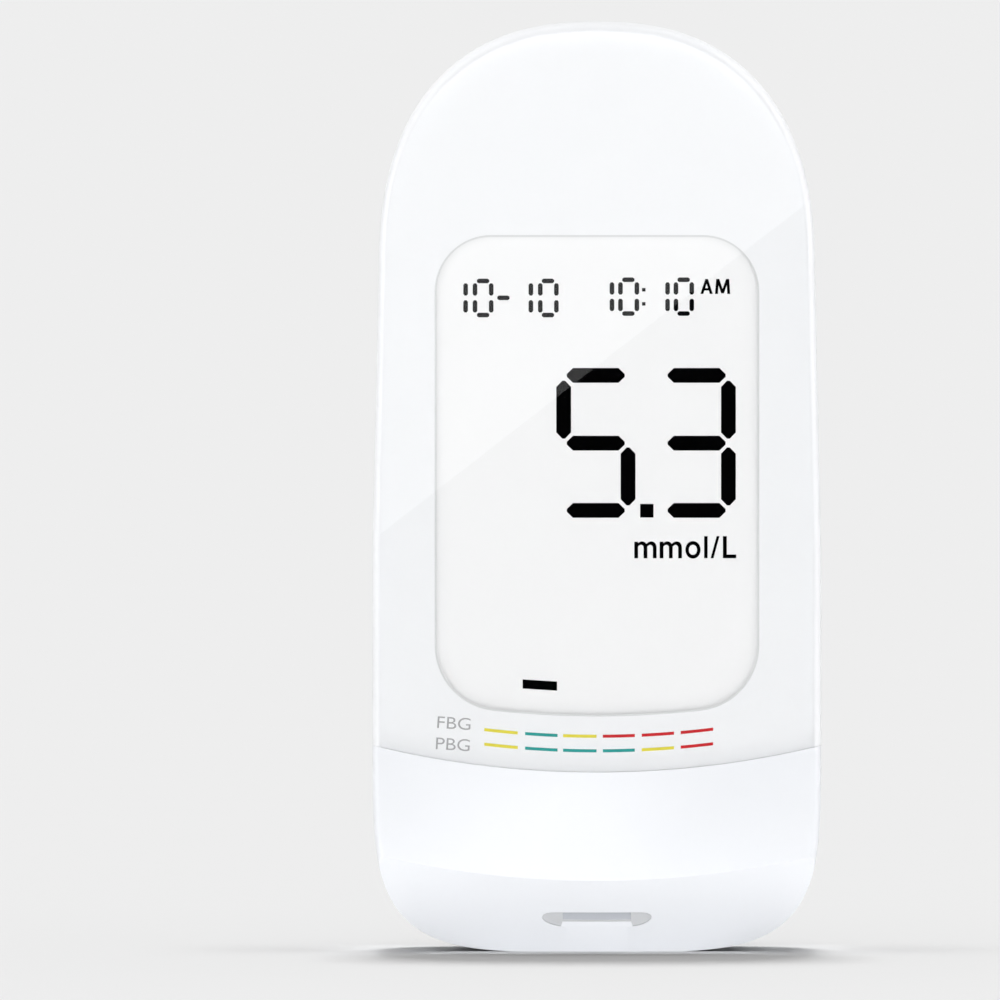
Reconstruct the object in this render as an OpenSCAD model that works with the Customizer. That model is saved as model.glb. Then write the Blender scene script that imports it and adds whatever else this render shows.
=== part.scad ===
// Blood glucose meter, standing upright on its lower end.
// X runs to the right, Y from the front face to the back, Z up the length. Millimetres.

/* [Body] */
// Height, standing on the lower end
body_h = 102; // [96:0.5:112]
// Greatest width, across the lower half
body_w = 49.2; // [47:0.2:54]
// How much narrower the body is where its sides meet the domed top
dome_taper = 1.4; // [0.8:0.2:2]
// Depth, front face to back
body_d = 22; // [20:0.1:26]
// Height of the domed top
dome_h = 27; // [26:0.5:30]
// Height of the rounded lower end
foot_h = 25.5; // [22:0.5:28]
// Level at which the sides start to taper towards the dome
taper_z = 44; // [32:1:60]
// Thickness of the housing walls
wall = 1.6; // [1.4:0.1:1.8]
// Depth over which the back edge is rounded
back_round_d = 8; // [6:0.5:9]
// Width over which the back edge is rounded
back_round_w = 7.5; // [5:0.5:7.5]
// Rounding of the back edge at the foot
foot_round = 3; // [2:0.5:4]
// Rounding of the front edge
front_round = 0.6; // [0.4:0.1:0.65]

/* [Lower cap] */
// Height of the seam between housing and cap, on the centre line
seam_z = 19.9; // [19.8:0.1:20.4]
// Radius of the seam and of the curves that follow it
seam_r = 104; // [90:1:150]
// Width of the seam groove
seam_gap = 0.2; // [0.1:0.05:0.4]
// Height of the crease above the bevel, on the centre line
crease_z = 8; // [7:0.25:8.5]
// How far the bevel runs back at the base
bevel_d = 6.5; // [5.5:0.25:7]

/* [Front panel and window] */
// Distance from the outline to the panel's edge
panel_edge = 0.8; // [0.7:0.05:1.2]
// Thickness of the clear panel
panel_t = 1; // [0.6:0.1:1.2]
// Thickness of the printed film
film_t = 0.15; // [0.1:0.05:0.25]
// Thickness of the tape behind the film
tape_t = 0.25; // [0.15:0.05:0.4]
// Thickness of the housing wall behind the tape
seat_t = 1.4; // [1.2:0.1:1.6]
// Distance from the body's side to the window
window_side = 7; // [6.6:0.1:9.5]
// Distance from the top of the body to the window's top edge
window_drop = 23.4; // [23:0.2:28]
// Radius of the window's upper corners
window_r_top = 6; // [2:0.5:8]
// Radius of the window's lower corners
window_r_low = 7; // [2:0.5:9]

/* [Display] */
// How far the glass reaches past the window on each side
lcd_margin_side = 1.6; // [0.9:0.1:1.8]
// Distance from the seam to the lower corners of the display glass
lcd_seam_gap = 1.3; // [1.2:0.1:4]
// How far the glass reaches below the window
lcd_margin_low = 3; // [2:0.1:3]
// How far the front glass reaches above the window
lcd_margin_top = 4; // [3.8:0.1:4.2]
// Height of the contact ledge on the front glass
lcd_ledge = 3.2; // [3:0.1:3.4]
// Gap between the film and the display
lcd_gap = 0.4; // [0.2:0.05:0.5]
// Thickness of each glass plate
lcd_glass_t = 0.7; // [0.5:0.05:0.8]
// Thickness of the polariser and of the reflector
lcd_foil_t = 0.2; // [0.15:0.05:0.25]

/* [Board] */
// Gap between the board and the battery tray
tray_gap = 0.5; // [0.4:0.05:0.8]
// Thickness of the board
board_t = 1; // [0.8:0.05:1.1]
// Distance from the body's side to the board
board_side = 5.1; // [4.6:0.1:6]
// Height of the board's shoulders above the base
board_low = 17; // [16.8:0.1:17.2]
// Width of the tongue that carries the strip connector
tongue_w = 26; // [20:0.5:27]
// Height of the tongue's end above the base
tongue_low = 8.8; // [8.6:0.1:10]
// Width of the board's upper tab
board_tab_w = 27; // [26:0.5:28]

/* [Battery bay] */
// Diameter of a cell
cell_d = 10.4; // [10:0.1:10.5]
// Distance from the top of the body to the door's hinge axis
hinge_drop = 19.1; // [18.6:0.1:21]
// Height of the battery door's lower edge above the base
door_low = 30.5; // [29:0.5:31]
// Width of the battery door
door_w = 26; // [25.4:0.2:26.6]
// Thickness of the tray walls
tray_wall = 0.8; // [0.6:0.05:0.85]
// Radius of the hinge pins
hinge_pin_r = 0.7; // [0.5:0.05:0.75]
// Clearance round the hinge pins
hinge_clear = 0.06; // [0.03:0.01:0.09]

/* [Buttons] */
// Height of the memory button's centre above the base
memory_z = 58; // [46:1:66]
// Length of the memory button's face
memory_l = 9; // [7:0.5:12]
// Travel of the memory button
memory_travel = 0.4; // [0.2:0.05:0.4]
// Radius of the set button's face
set_r = 2; // [1.6:0.1:2.4]
// Travel of the set button
set_travel = 0.35; // [0.2:0.05:0.4]

/* [Test strip port] */
// Width of the strip channel
strip_w = 7.5; // [7:0.1:8]
// Height of the strip channel, front to back
strip_t = 0.7; // [0.5:0.05:0.8]
// Width of the slot piece
guide_w = 12; // [11:0.2:13]
// Depth of the slot piece, front to back
guide_t = 1.4; // [1.25:0.05:1.55]
// Distance from the front face to the middle of the channel
strip_y = 3.4; // [3.2:0.05:3.6]

/* [Hidden] */
$fn = 64;

fit = 0.1;          // clearance between pieces that lie beside each other
slide_fit = 0.2;    // clearance round a piece that moves
far = 400;          // longer than anything here
outline_step = 7.5; // degrees between the points of the rounded ends

// Levels from front to back
front_y = -body_d / 2;
back_y = body_d / 2;
panel_back = front_y + panel_t;
film_back = panel_back + film_t;
seat_front = film_back + tape_t;
seat_back = seat_front + seat_t;
lcd_front = film_back + lcd_gap;
front_glass_y = lcd_front + lcd_foil_t;
rear_glass_y = front_glass_y + lcd_glass_t;
reflector_y = rear_glass_y + lcd_glass_t;
lcd_back = reflector_y + lcd_foil_t;
inner_back = back_y - wall;
parting_y = 2; // where the front and rear housings meet

// Outline of the body
dome_z = body_h - dome_h;
dome_w = body_w - dome_taper;
dome_power = 2.4;
foot_power = 4.4;
foot_flat = 0.08; // how much the foot's curve is cut off to stand on

// Display
window_w = body_w - 2 * window_side;
window_top = body_h - window_drop;
lcd_w = window_w + 2 * lcd_margin_side;
lcd_low = curve_z(seam_z + lcd_seam_gap, lcd_w / 2);
window_bottom = lcd_low + lcd_margin_low;
lcd_top = window_top + lcd_margin_top;
lcd_ledge_z = lcd_top - lcd_ledge;
frame_rim = 1;
frame_w = lcd_w + 2 * (fit + frame_rim);
frame_low = lcd_low - fit - frame_rim;
frame_top = lcd_top + fit + frame_rim;
frame_ledge = 2;
foil_edge = 0.5;   // how far the foils stay inside the glass
connector_h = 2;   // height of the elastomer strip

// Battery door, hinged at its upper edge
barrel_r = 1.2;
hinge_z = body_h - hinge_drop;
hinge_y = back_y - barrel_r;
hinge_pin_l = 1.5;
door_gap = 0.25;
bore_l = hinge_pin_l + 0.3;
hinge_ear_w = 3;
hinge_ear_r = 2;

// Battery bay, as long as the door leaves room for, with cells that fill it
cell_gap = 0.8;
cell_x = (cell_d + cell_gap) / 2;
cell_slack = 0.3;
cell_y = inner_back - fit - cell_slack - cell_d / 2;
cell_button_r = 1.9;
cell_button_h = 1;
spring_l = 3;
plate_t = 0.4;
plate_w = 7;
bay_w = 2 * cell_d + cell_gap + 2 * cell_slack;
bay_low = door_low + 1.2;
tray_low = bay_low - tray_wall;
tray_top = hinge_z - barrel_r - 0.9;
bay_top = tray_top - tray_wall;
cell_l = bay_top - bay_low - cell_button_h - spring_l - 2 * plate_t;
tray_front = cell_y - cell_d / 2 - cell_slack - tray_wall;
tray_back = inner_back - fit;
tray_foot_r = 1;

// Board
board_back = tray_front - tray_gap;
board_front = board_back - board_t;
board_w = body_w - 2 * board_side;
post_rise = 4.4;
post_z = frame_top + post_rise;
post_x = 9;
post_r = 2;
tab_rise = 5.5;
board_top = post_z + tab_rise;
screw_r = 0.8;
screw_head_r = 1.5;
screw_head_t = 0.9;
ear_x = board_w / 2 + 1.3; // inner face of the ear that reaches down into the cap
ear_t = 1.1;
ledge_x = board_w / 2 - 1.5;
ledge_z = board_low + 2;
ledge_r = 1.7;
ledge_t = board_front - seat_back - 1;
board_pilot_l = 2.8;

// Screws
top_screw_in = 8.5;
top_screw_rise = 1.6;
top_screw_x = dome_w / 2 - top_screw_in;
top_screw_z = post_z + top_screw_rise;
cap_screw_in = 2.2;
cap_screw_x = ear_x - cap_screw_in;
cap_screw_z = 13;
boss_r = 2.3;
big_screw_r = 1;
big_head_r = 1.9;
big_head_t = 1.3;
head_sink = 3.2;            // how deep the heads of the housing and cap screws seat
head_seat_y = back_y - head_sink;
pilot_l = 8;                // depth of a pilot hole
pilot_spare = 2;            // how far a pilot hole runs on past its screw
tip_gap = 0.3;              // the same below a board screw
bite = 0.15;                // how far a screw thread cuts into its boss

// Buttons and their switches
switch_rise = 1.1;
switch_y = board_back + switch_rise;
memory_w = 3;
switch_d = 3.8;
switch_l = 4.8;
switch_in = 3.2;
switch_x = board_w / 2 - switch_in;
plunger_l = 0.6;
plunger_r = 0.9;
rest_gap = 0.05; // what a button's stem leaves beyond its travel
switch_gap = memory_travel + rest_gap;
flange_t = 0.7;
flange_rim = 0.7;
flange_gap = 0.12;
set_rise = 2.4;
set_z = post_z + set_rise;
set_switch_w = 3.6;
set_switch_h = 1.8;
set_plunger_h = 0.3;
set_stem_r = 1.15;

// Small parts on the back of the board
chip_x = (bay_w / 2 + tray_wall + board_w / 2) / 2; // middle of the strip of board beside the tray
chip_z = door_low + 5.5;
chip_w = 4.4;
chip_l = 5;
chip_t = 1;
crystal_w = 3.2;
crystal_l = 1.5;
small_w = 1.6; // capacitors and thermistor
small_t = 0.8;
small_pitch = 3;
mcu_x = 2;
mcu_rise = 3;
mcu_w = 8;
mcu_t = 1.2;
lead_l = 0.8;
lead_w = 0.3;
lead_t = 0.35;
lead_pitch = 0.8;
buzzer_x = 7.5;
buzzer_rise = 7;
buzzer_r = 4.5;
buzzer_t = 3.5;
buzzer_hole_r = 1;

// Test strip port
strip_mid = front_y + strip_y;
connector_w = 12;
connector_floor = 0.6; // between the leaves and the board
connector_low = tongue_low - 0.2;
connector_top = seam_z - 0.5;
connector_front = front_y + wall + 0.6;
guide_top = connector_low - fit;
wing_skin = 0.7;  // how deep the recesses beside the channel lie behind the bevel
contact_pitch = 1.2;

// Rounded inset of an edge: full width at d = 0, nothing from d = depth on
function quarter(d, depth, width) =
    d >= depth ? 0 : width * (1 - sqrt(max(0, 1 - pow((depth - d) / depth, 2))));

function arc(cx, cz, r, from, to, steps) =
    [for (k = [0 : steps]) let (a = from + (to - from) * k / steps) [cx + r * cos(a), cz + r * sin(a)]];

function power_x(a, half, power) = half * sign(cos(a)) * pow(abs(cos(a)), 2 / power);
function power_z(a, half, power) = half * pow(abs(sin(a)), 2 / power);

// Front outline of the body, drawn in by inset, and by inset_foot at the foot
function outline_points(inset, inset_foot) = concat(
    [for (a = [0 : outline_step : 180])
        [power_x(a, dome_w / 2 - inset, dome_power), dome_z + power_z(a, dome_h - inset, dome_power)]],
    [[-(body_w / 2 - inset), taper_z]],
    [for (a = [180 : outline_step : 360])
        [power_x(a, body_w / 2 - inset, foot_power),
         max(inset_foot, foot_h - power_z(a, foot_h + foot_flat - inset_foot, foot_power))]],
    [[body_w / 2 - inset, taper_z]]
);

// Half width of the body at a level on its straight sides
function side_x(z) =
    z < taper_z ? body_w / 2 : body_w / 2 - (body_w - dome_w) / 2 * (z - taper_z) / (dome_z - taper_z);

// Height of a curve that runs parallel to the seam, at x from the centre line
function curve_z(z, x) = z + seam_r - sqrt(seam_r * seam_r - x * x);

// Window outline, drawn out by grow
function window_points(grow) =
    let (
        half = window_w / 2 + grow,
        r_low = window_r_low + grow,
        r_top = window_r_top + grow,
        big_r = seam_r + grow,
        big_z = window_bottom + seam_r,
        low_z = big_z - sqrt(pow(big_r - r_low, 2) - pow(half - r_low, 2)),
        turn = acos((half - r_low) / (big_r - r_low)),
        top_z = window_top + grow - r_top
    )
    concat(
        arc(0, big_z, big_r, 180 + turn, 360 - turn, 16),
        arc(half - r_low, low_z, r_low, -turn, 0, 10),
        arc(half - r_top, top_z, r_top, 0, 90, 10),
        arc(-half + r_top, top_z, r_top, 90, 180, 10),
        arc(-half + r_low, low_z, r_low, 180, 180 + turn, 10)
    );

// Flat shapes drawn as seen from the front, given thickness from y0 to y1
module slab(y0, y1) {
    translate([0, y1, 0]) rotate([90, 0, 0]) linear_extrude(y1 - y0) children();
}

// Round bar or hole along Y
module y_rod(x, z, y0, y1, r) {
    translate([x, y1, z]) rotate([90, 0, 0]) cylinder(h = y1 - y0, r = r);
}

// Round bar or hole along X
module x_rod(y, z, x0, x1, r) {
    translate([x0, y, z]) rotate([0, 90, 0]) cylinder(h = x1 - x0, r = r);
}

// Box given by its two corners
module block(x0, x1, y0, y1, z0, z1) {
    translate([x0, y0, z0]) cube([x1 - x0, y1 - y0, z1 - z0]);
}

module both_sides() {
    for (side = [0, 1]) mirror([side, 0, 0]) children();
}

module outline(inset) {
    polygon(outline_points(inset, inset));
}

// Everything above the curved seam, kept back from it by gap
module above_seam(gap) {
    y_rod(0, seam_z + seam_r, front_y - 1, back_y + 1, seam_r - gap);
}

// Everything on the body's side of the bevel, kept back from it by skin. The bevel is part of a large
// cylinder that slopes back, so that the crease follows the seam's curve.
module behind_bevel(skin) {
    tilt = atan2(bevel_d, crease_z);
    bevel_r = seam_r / sin(tilt);
    translate([0, front_y, crease_z]) rotate([tilt, 0, 0]) translate([0, bevel_r, -body_h])
        cylinder(h = 2 * body_h, r = bevel_r - skin, $fn = 180);
}

// Closed skin through rings of the outline. Each ring is [level along Y, inset, inset at the foot].
module loft(rings) {
    count = len(outline_points(0, 0));
    points = [for (ring = rings) for (p = outline_points(ring[1], ring[2])) [p[0], ring[0], p[1]]];
    sides = [for (k = [0 : len(rings) - 2]) for (i = [0 : count - 1])
        let (a = k * count + i, b = k * count + (i + 1) % count)
        for (half = [0, 1]) half == 0 ? [a, b, b + count] : [a, b + count, a + count]];
    front = [for (i = [count - 1 : -1 : 0]) i];
    back = [for (i = [0 : count - 1]) (len(rings) - 1) * count + i];
    polyhedron(points = points, faces = concat(sides, [front, back]));
}

// Outer shape of the meter before the bevel is cut
module body_form() {
    front_d = 1.2;
    loft(concat(
        [for (d = [0, 0.25, 0.6, front_d])
            let (inset = quarter(d, front_d, front_round)) [front_y + d, inset, inset]],
        [for (a = [0 : 15 : 90])
            let (y = back_y - back_round_d * (1 - sin(a)))
            [y, back_round_w * (1 - cos(a)), quarter(back_y - y, foot_round, foot_round)]]
    ));
}

// Space inside the walls, from the level start on
module cavity_form(start) {
    depth = back_round_d - wall;
    foot_depth = foot_round - wall / 2;
    loft(concat(
        [[start, wall + front_round, wall + front_round], [start + 0.8, wall, wall]],
        [for (a = [0 : 18 : 90])
            let (y = inner_back - depth * (1 - sin(a)))
            let (foot_inset = quarter(inner_back - y, foot_depth, foot_depth))
            [y, wall + (back_round_w - wall) * (1 - cos(a)), wall + foot_inset]]
    ));
}

module front_housing() {
    lcd_hole = lcd_w / 2 + slide_fit;
    color("white") {
        difference() {
            intersection() {
                body_form();
                above_seam(seam_gap);
                block(-far, far, front_y - 1, parting_y, 0, far);
            }
            difference() {
                cavity_form(seat_back);
                both_sides() {
                    y_rod(top_screw_x, top_screw_z, seat_back - 1, parting_y + 1, boss_r);
                    y_rod(post_x, post_z, seat_back - 1, board_front, post_r);
                }
            }
            slab(front_y - 1, seat_front) outline(panel_edge - fit);
            block(-lcd_hole, lcd_hole, front_y, seat_back + 1, lcd_low - slide_fit, lcd_top + slide_fit);
            both_sides() {
                y_rod(top_screw_x, top_screw_z, parting_y - pilot_l, parting_y + 1, big_screw_r - bite);
                y_rod(post_x, post_z, board_front - board_pilot_l, board_front + 1, screw_r - bite);
            }
            memory_button_hole();
        }
        both_sides() ear();
    }
}

// Arm that reaches down from the side wall into the cap, with the seats of a cap screw and a board screw
module ear() {
    join_z = curve_z(seam_z, ear_x) + 1;
    outer_x = ear_x + ear_t;
    difference() {
        union() {
            block(ear_x, outer_x, seat_back, parting_y, cap_screw_z - 1, join_z + 7);
            block(ear_x, side_x(join_z) - wall / 2, seat_back - 0.3, parting_y, join_z, join_z + 7);
            y_rod(cap_screw_x, cap_screw_z, seat_back, parting_y, boss_r);
            block(cap_screw_x, outer_x, seat_back, parting_y, cap_screw_z - 1, cap_screw_z + 1);
            block(
                ledge_x - ledge_r, outer_x,
                board_front - ledge_t, board_front,
                ledge_z - ledge_r, ledge_z + ledge_r
            );
        }
        y_rod(cap_screw_x, cap_screw_z, parting_y - pilot_l, parting_y + 1, big_screw_r - bite);
        y_rod(ledge_x, ledge_z, board_front - board_pilot_l, board_front + 1, screw_r - bite);
    }
}

module memory_button_hole() {
    deep = side_x(memory_z) - wall - 1;
    stadium_x(memory_z, memory_l + 2 * slide_fit, memory_w + 2 * slide_fit, deep, body_w);
}

// Bar along X with round ends, centred on the memory switch's level
module stadium_x(z, length, width, x0, x1) {
    reach = length / 2 - width / 2;
    block(x0, x1, switch_y - width / 2, switch_y + width / 2, z - reach, z + reach);
    for (end = [-reach, reach]) x_rod(switch_y, z + end, x0, x1, width / 2);
}

module rear_housing() {
    opening = door_w / 2 + door_gap;
    color("white") {
        difference() {
            intersection() {
                body_form();
                above_seam(seam_gap);
                block(-far, far, parting_y, back_y + 1, 0, far);
            }
            difference() {
                cavity_form(seat_back);
                both_sides() {
                    y_rod(top_screw_x, top_screw_z, 0, back_y, boss_r + 0.4);
                    block(
                        opening, door_w / 2 + hinge_ear_w,
                        hinge_y - hinge_ear_r, back_y,
                        hinge_z - hinge_ear_r, hinge_z + hinge_ear_r
                    );
                }
                y_rod(0, set_z, back_y - 5, back_y, set_r + 1.2);
            }
            block(
                -opening, opening,
                tray_back - 1, back_y + 1,
                door_low - door_gap, hinge_z + barrel_r + door_gap
            );
            both_sides() {
                x_rod(hinge_y, hinge_z, opening - 1, door_w / 2 + bore_l, hinge_pin_r + hinge_clear);
                screw_hole(top_screw_x, top_screw_z);
            }
            y_rod(0, set_z, 0, back_y + 1, set_stem_r + hinge_clear);
            y_rod(0, set_z, back_y - 1.6, back_y + 1, set_r + fit);
        }
        rear_tongue();
    }
}

// Clearance hole from the parting line to the back, with a seat for the screw's head
module screw_hole(x, z) {
    y_rod(x, z, parting_y - 1, back_y + 1, big_screw_r + fit);
    y_rod(x, z, head_seat_y, back_y + 1, big_head_r + fit);
}

// Tongue that hooks behind the rear wall of the cap
module rear_tongue() {
    block(-8, 8, inner_back - fit - 1, inner_back - fit, seam_z - 3, seam_z + 3);
    block(-8, 8, inner_back - fit - 1, inner_back + 0.4, seam_z + 1, seam_z + 3);
}

module lower_cap() {
    color("whitesmoke") {
        difference() {
            intersection() {
                body_form();
                behind_bevel(0);
                block(-far, far, front_y - 1, back_y + 1, 0, seam_z + 10);
            }
            above_seam(0);
            difference() {
                intersection() {
                    cavity_form(front_y + wall);
                    behind_bevel(wall);
                }
                both_sides() y_rod(cap_screw_x, cap_screw_z, parting_y, back_y, boss_r + 0.4);
            }
            slot_shape(guide_w + 2 * fit, guide_t + 2 * fit, -1, guide_top);
            both_sides() screw_hole(cap_screw_x, cap_screw_z);
        }
        both_sides() cap_tab();
    }
}

// Tab of the cap that locates the side wall of the rear housing
module cap_tab() {
    tab_x = body_w / 2 - wall;
    top = curve_z(seam_z, tab_x);
    tab_d = 1.6;
    block(tab_x - 0.9, tab_x - fit, parting_y, parting_y + tab_d, top - 3, top + 2);
    block(tab_x - 0.9, tab_x + 0.4, parting_y, parting_y + tab_d, top - 3, top - 0.6);
}

// Upright bar with round ends, as wide and deep as the strip port
module slot_shape(w, t, z0, z1) {
    reach = w / 2 - t / 2;
    block(-reach, reach, strip_mid - t / 2, strip_mid + t / 2, z0, z1);
    for (end = [-reach, reach]) translate([end, strip_mid, z0]) cylinder(h = z1 - z0, r = t / 2);
}

// Channel that the test strip slides in
module strip_channel(z0, z1) {
    block(-strip_w / 2, strip_w / 2, strip_mid - strip_t / 2, strip_mid + strip_t / 2, z0, z1);
}

module slot_guide() {
    wing_low = strip_mid - guide_t / 2 + 0.25;
    wing_high = strip_mid + guide_t / 2 - 0.25;
    color("silver") difference() {
        intersection() {
            slot_shape(guide_w, guide_t, 0, guide_top);
            behind_bevel(0.1);
        }
        strip_channel(-1, guide_top + 1);
        both_sides() difference() {
            block(strip_w / 2 + 0.2, guide_w / 2 - 0.4, wing_low, wing_high, -1, guide_top);
            behind_bevel(wing_skin);
        }
    }
}

module front_panel() {
    color("white", 0.35) intersection() {
        slab(front_y, panel_back) outline(panel_edge);
        above_seam(seam_gap);
    }
}

module printed_film() {
    color("white") difference() {
        intersection() {
            slab(panel_back, film_back) outline(panel_edge + fit);
            above_seam(seam_gap + fit);
        }
        slab(panel_back - 1, film_back + 1) polygon(window_points(0));
    }
}

module panel_tape() {
    hole = lcd_w / 2 + 2 * slide_fit;
    color("gainsboro") difference() {
        intersection() {
            slab(film_back, seat_front) outline(panel_edge + 2 * fit);
            above_seam(seam_gap + 2 * fit);
        }
        block(-hole, hole, front_y, seat_back, lcd_low - 2 * slide_fit, lcd_top + 2 * slide_fit);
    }
}

module display_polariser() {
    half = lcd_w / 2 - foil_edge;
    color("ghostwhite") block(-half, half, lcd_front, front_glass_y, lcd_low + foil_edge, lcd_ledge_z);
}

module display_front_glass() {
    color("aliceblue", 0.5) block(-lcd_w / 2, lcd_w / 2, front_glass_y, rear_glass_y, lcd_low, lcd_top);
}

module display_rear_glass() {
    color("aliceblue", 0.5) block(-lcd_w / 2, lcd_w / 2, rear_glass_y, reflector_y, lcd_low, lcd_ledge_z);
}

module display_reflector() {
    half = lcd_w / 2 - foil_edge;
    color("lightgray")
        block(-half, half, reflector_y, lcd_back, lcd_low + foil_edge, lcd_ledge_z - foil_edge);
}

module display_frame() {
    inner_w = lcd_w - 2 * frame_ledge;
    slot_z = lcd_ledge_z + lcd_ledge / 2;
    color("dimgray") difference() {
        block(-frame_w / 2, frame_w / 2, seat_back, board_front, frame_low, frame_top);
        block(-lcd_w / 2 - fit, lcd_w / 2 + fit, seat_back - 1, lcd_back, lcd_low - fit, lcd_top + fit);
        block(
            -inner_w / 2, inner_w / 2,
            seat_back, board_front + 1,
            lcd_low + frame_ledge, lcd_ledge_z - frame_ledge
        );
        block(
            -inner_w / 2 - fit, inner_w / 2 + fit,
            seat_back, board_front + 1,
            slot_z - connector_h / 2 - fit, slot_z + connector_h / 2 + fit
        );
    }
}

// Elastomer strip pressed between the display's contact ledge and the board
module display_connector() {
    half = lcd_w / 2 - frame_ledge;
    slot_z = lcd_ledge_z + lcd_ledge / 2;
    color("pink")
        block(-half, half, rear_glass_y, board_front, slot_z - connector_h / 2, slot_z + connector_h / 2);
}

module main_board() {
    color("seagreen") difference() {
        union() {
            block(-board_w / 2, board_w / 2, board_front, board_back, board_low, frame_top + 0.5);
            block(-tongue_w / 2, tongue_w / 2, board_front, board_back, tongue_low, board_low);
            block(-board_tab_w / 2, board_tab_w / 2, board_front, board_back, frame_top + 0.5, board_top);
        }
        both_sides() {
            y_rod(post_x, post_z, board_front - 1, board_back + 1, screw_r + fit);
            y_rod(ledge_x, ledge_z, board_front - 1, board_back + 1, screw_r + fit);
            y_rod(top_screw_x, top_screw_z, board_front - 1, board_back + 1, boss_r + 3 * fit);
        }
    }
}

// Chip w wide and l long on the back of the board, centred at x and standing on z
module chip(x, z, w, l, t) {
    block(x - w / 2, x + w / 2, board_back, board_back + t, z, z + l);
}

module microcontroller() {
    leads = 8;
    low = board_low + mcu_rise;
    middle = mcu_x + mcu_w / 2;
    first = low + (mcu_w - (leads - 1) * lead_pitch) / 2;
    color("black") chip(middle, low, mcu_w, mcu_w, mcu_t);
    color("silver") for (k = [0 : leads - 1]) for (side = [-1, 1])
        chip(
            middle + side * (mcu_w + lead_l) / 2, first + k * lead_pitch - lead_w / 2,
            lead_l, lead_w, lead_t
        );
}

module measuring_chip() {
    color("black") chip(chip_x, chip_z, chip_w, chip_l, chip_t);
}

module memory_chip() {
    color("black") chip(-chip_x, chip_z, chip_w, chip_l, chip_t);
}

module clock_crystal() {
    color("silver") chip(chip_x, chip_z + 9, crystal_w, crystal_l, small_t);
}

module capacitors() {
    top = frame_top - small_t;
    color("tan") {
        for (k = [0 : 3]) chip(-chip_x, chip_z + 9 + small_pitch * k, small_w, small_t, small_t);
        for (k = [0 : 2]) chip(chip_x, top - small_pitch * k, small_w, small_t, small_t);
    }
}

// Sits beside the strip connector, where the strip is warmed by the hand
module thermistor() {
    low = tongue_low + 3;
    near = connector_w / 2 + 2.4;
    color("tan") block(near, near + small_w, board_front - small_t, board_front, low, low + small_t);
}

module buzzer() {
    z = board_low + buzzer_rise;
    color("black") difference() {
        y_rod(-buzzer_x, z, board_back, board_back + buzzer_t, buzzer_r);
        y_rod(-buzzer_x, z, board_back + buzzer_t - 1, board_back + buzzer_t + 0.5, buzzer_hole_r);
    }
}

module memory_switch() {
    tip = switch_x + switch_d;
    half = switch_l / 2;
    back = switch_y + switch_rise;
    color("silver") block(switch_x, tip, board_back, back, memory_z - half, memory_z + half);
    color("black") block(tip, tip + plunger_l, switch_y - 0.5, switch_y + 0.5, memory_z - 1, memory_z + 1);
}

module memory_button() {
    wall_in = side_x(memory_z + memory_l / 2) - wall;
    tip = switch_x + switch_d + plunger_l + switch_gap;
    face = side_x(memory_z + memory_l / 2) - rest_gap;
    flange_x = wall_in - flange_gap;
    color("white") {
        stadium_x(memory_z, memory_l, memory_w, flange_x - flange_t, face);
        stadium_x(
            memory_z, memory_l + 2 * flange_rim, memory_w + 2 * flange_rim,
            flange_x - flange_t, flange_x
        );
        x_rod(switch_y, memory_z, tip, flange_x, plunger_r);
    }
}

module set_switch() {
    half = set_switch_w / 2;
    back = board_back + set_switch_h;
    color("silver") block(-half, half, board_back, back, set_z - half, set_z + half);
    color("black") y_rod(0, set_z, back, back + set_plunger_h, plunger_r);
}

module set_button() {
    tip = board_back + set_switch_h + set_plunger_h + set_travel + rest_gap;
    color("lightgray") {
        y_rod(0, set_z, back_y - 1.15, back_y - 0.2, set_r);
        y_rod(0, set_z, tip, back_y - 1.1, set_stem_r);
    }
}

module strip_connector() {
    color("ivory") difference() {
        block(-connector_w / 2, connector_w / 2, connector_front, board_front, connector_low, connector_top);
        strip_channel(connector_low - 1, connector_top - 1.5);
        block(
            -strip_w / 2 + 0.5, strip_w / 2 - 0.5,
            strip_mid, board_front - connector_floor,
            connector_low + 3, connector_top + 1
        );
    }
}

// Row of spring leaves that press on the strip from behind
module strip_contacts() {
    count = 5;
    leaf_t = 0.15;
    heel_y = board_front - connector_floor - leaf_t;
    color("gold") for (k = [0 : count - 1]) {
        x = (k - (count - 1) / 2) * contact_pitch;
        leaf(x, heel_y, leaf_t);
    }
}

// One leaf: a foot soldered to the board, an upright in the connector and an arm that leans on the strip
module leaf(x, heel_y, leaf_t) {
    low = connector_low + 3.2;
    reach = 3.2;
    touch = strip_mid + strip_t / 2 - 0.1;
    half = 0.3;
    block(x - half, x + half, heel_y, heel_y + leaf_t, low, connector_top + leaf_t);
    block(x - half, x + half, heel_y, board_front, connector_top, connector_top + leaf_t);
    block(x - half, x + half, board_front - leaf_t, board_front, connector_top, connector_top + 1.4);
    translate([x - half, 0, 0]) rotate([90, 0, 90]) linear_extrude(2 * half)
        polygon([[heel_y, low], [heel_y + leaf_t, low], [touch + leaf_t, low + reach], [touch, low + reach]]);
}

module battery_tray() {
    half = bay_w / 2;
    foot_x = half - 2;
    color("whitesmoke") difference() {
        union() {
            block(-half - tray_wall, half + tray_wall, tray_front, tray_back, tray_low, tray_top);
            for (x = [-foot_x, foot_x]) for (z = [tray_low + 4, tray_top - 4])
                y_rod(x, z, board_back, tray_front + 0.2, tray_foot_r);
        }
        block(-half, half, tray_front + tray_wall, tray_back + 1, bay_low, bay_top);
    }
}

module battery_plates() {
    half = bay_w / 2 - cell_slack;
    y0 = cell_y - plate_w / 2;
    y1 = cell_y + plate_w / 2;
    color("silver") {
        block(-half, half, y0, y1, bay_low, bay_low + plate_t);
        for (x = [-cell_x, cell_x])
            block(x - plate_w / 2, x + plate_w / 2, y0, y1, bay_top - plate_t, bay_top);
    }
}

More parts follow.
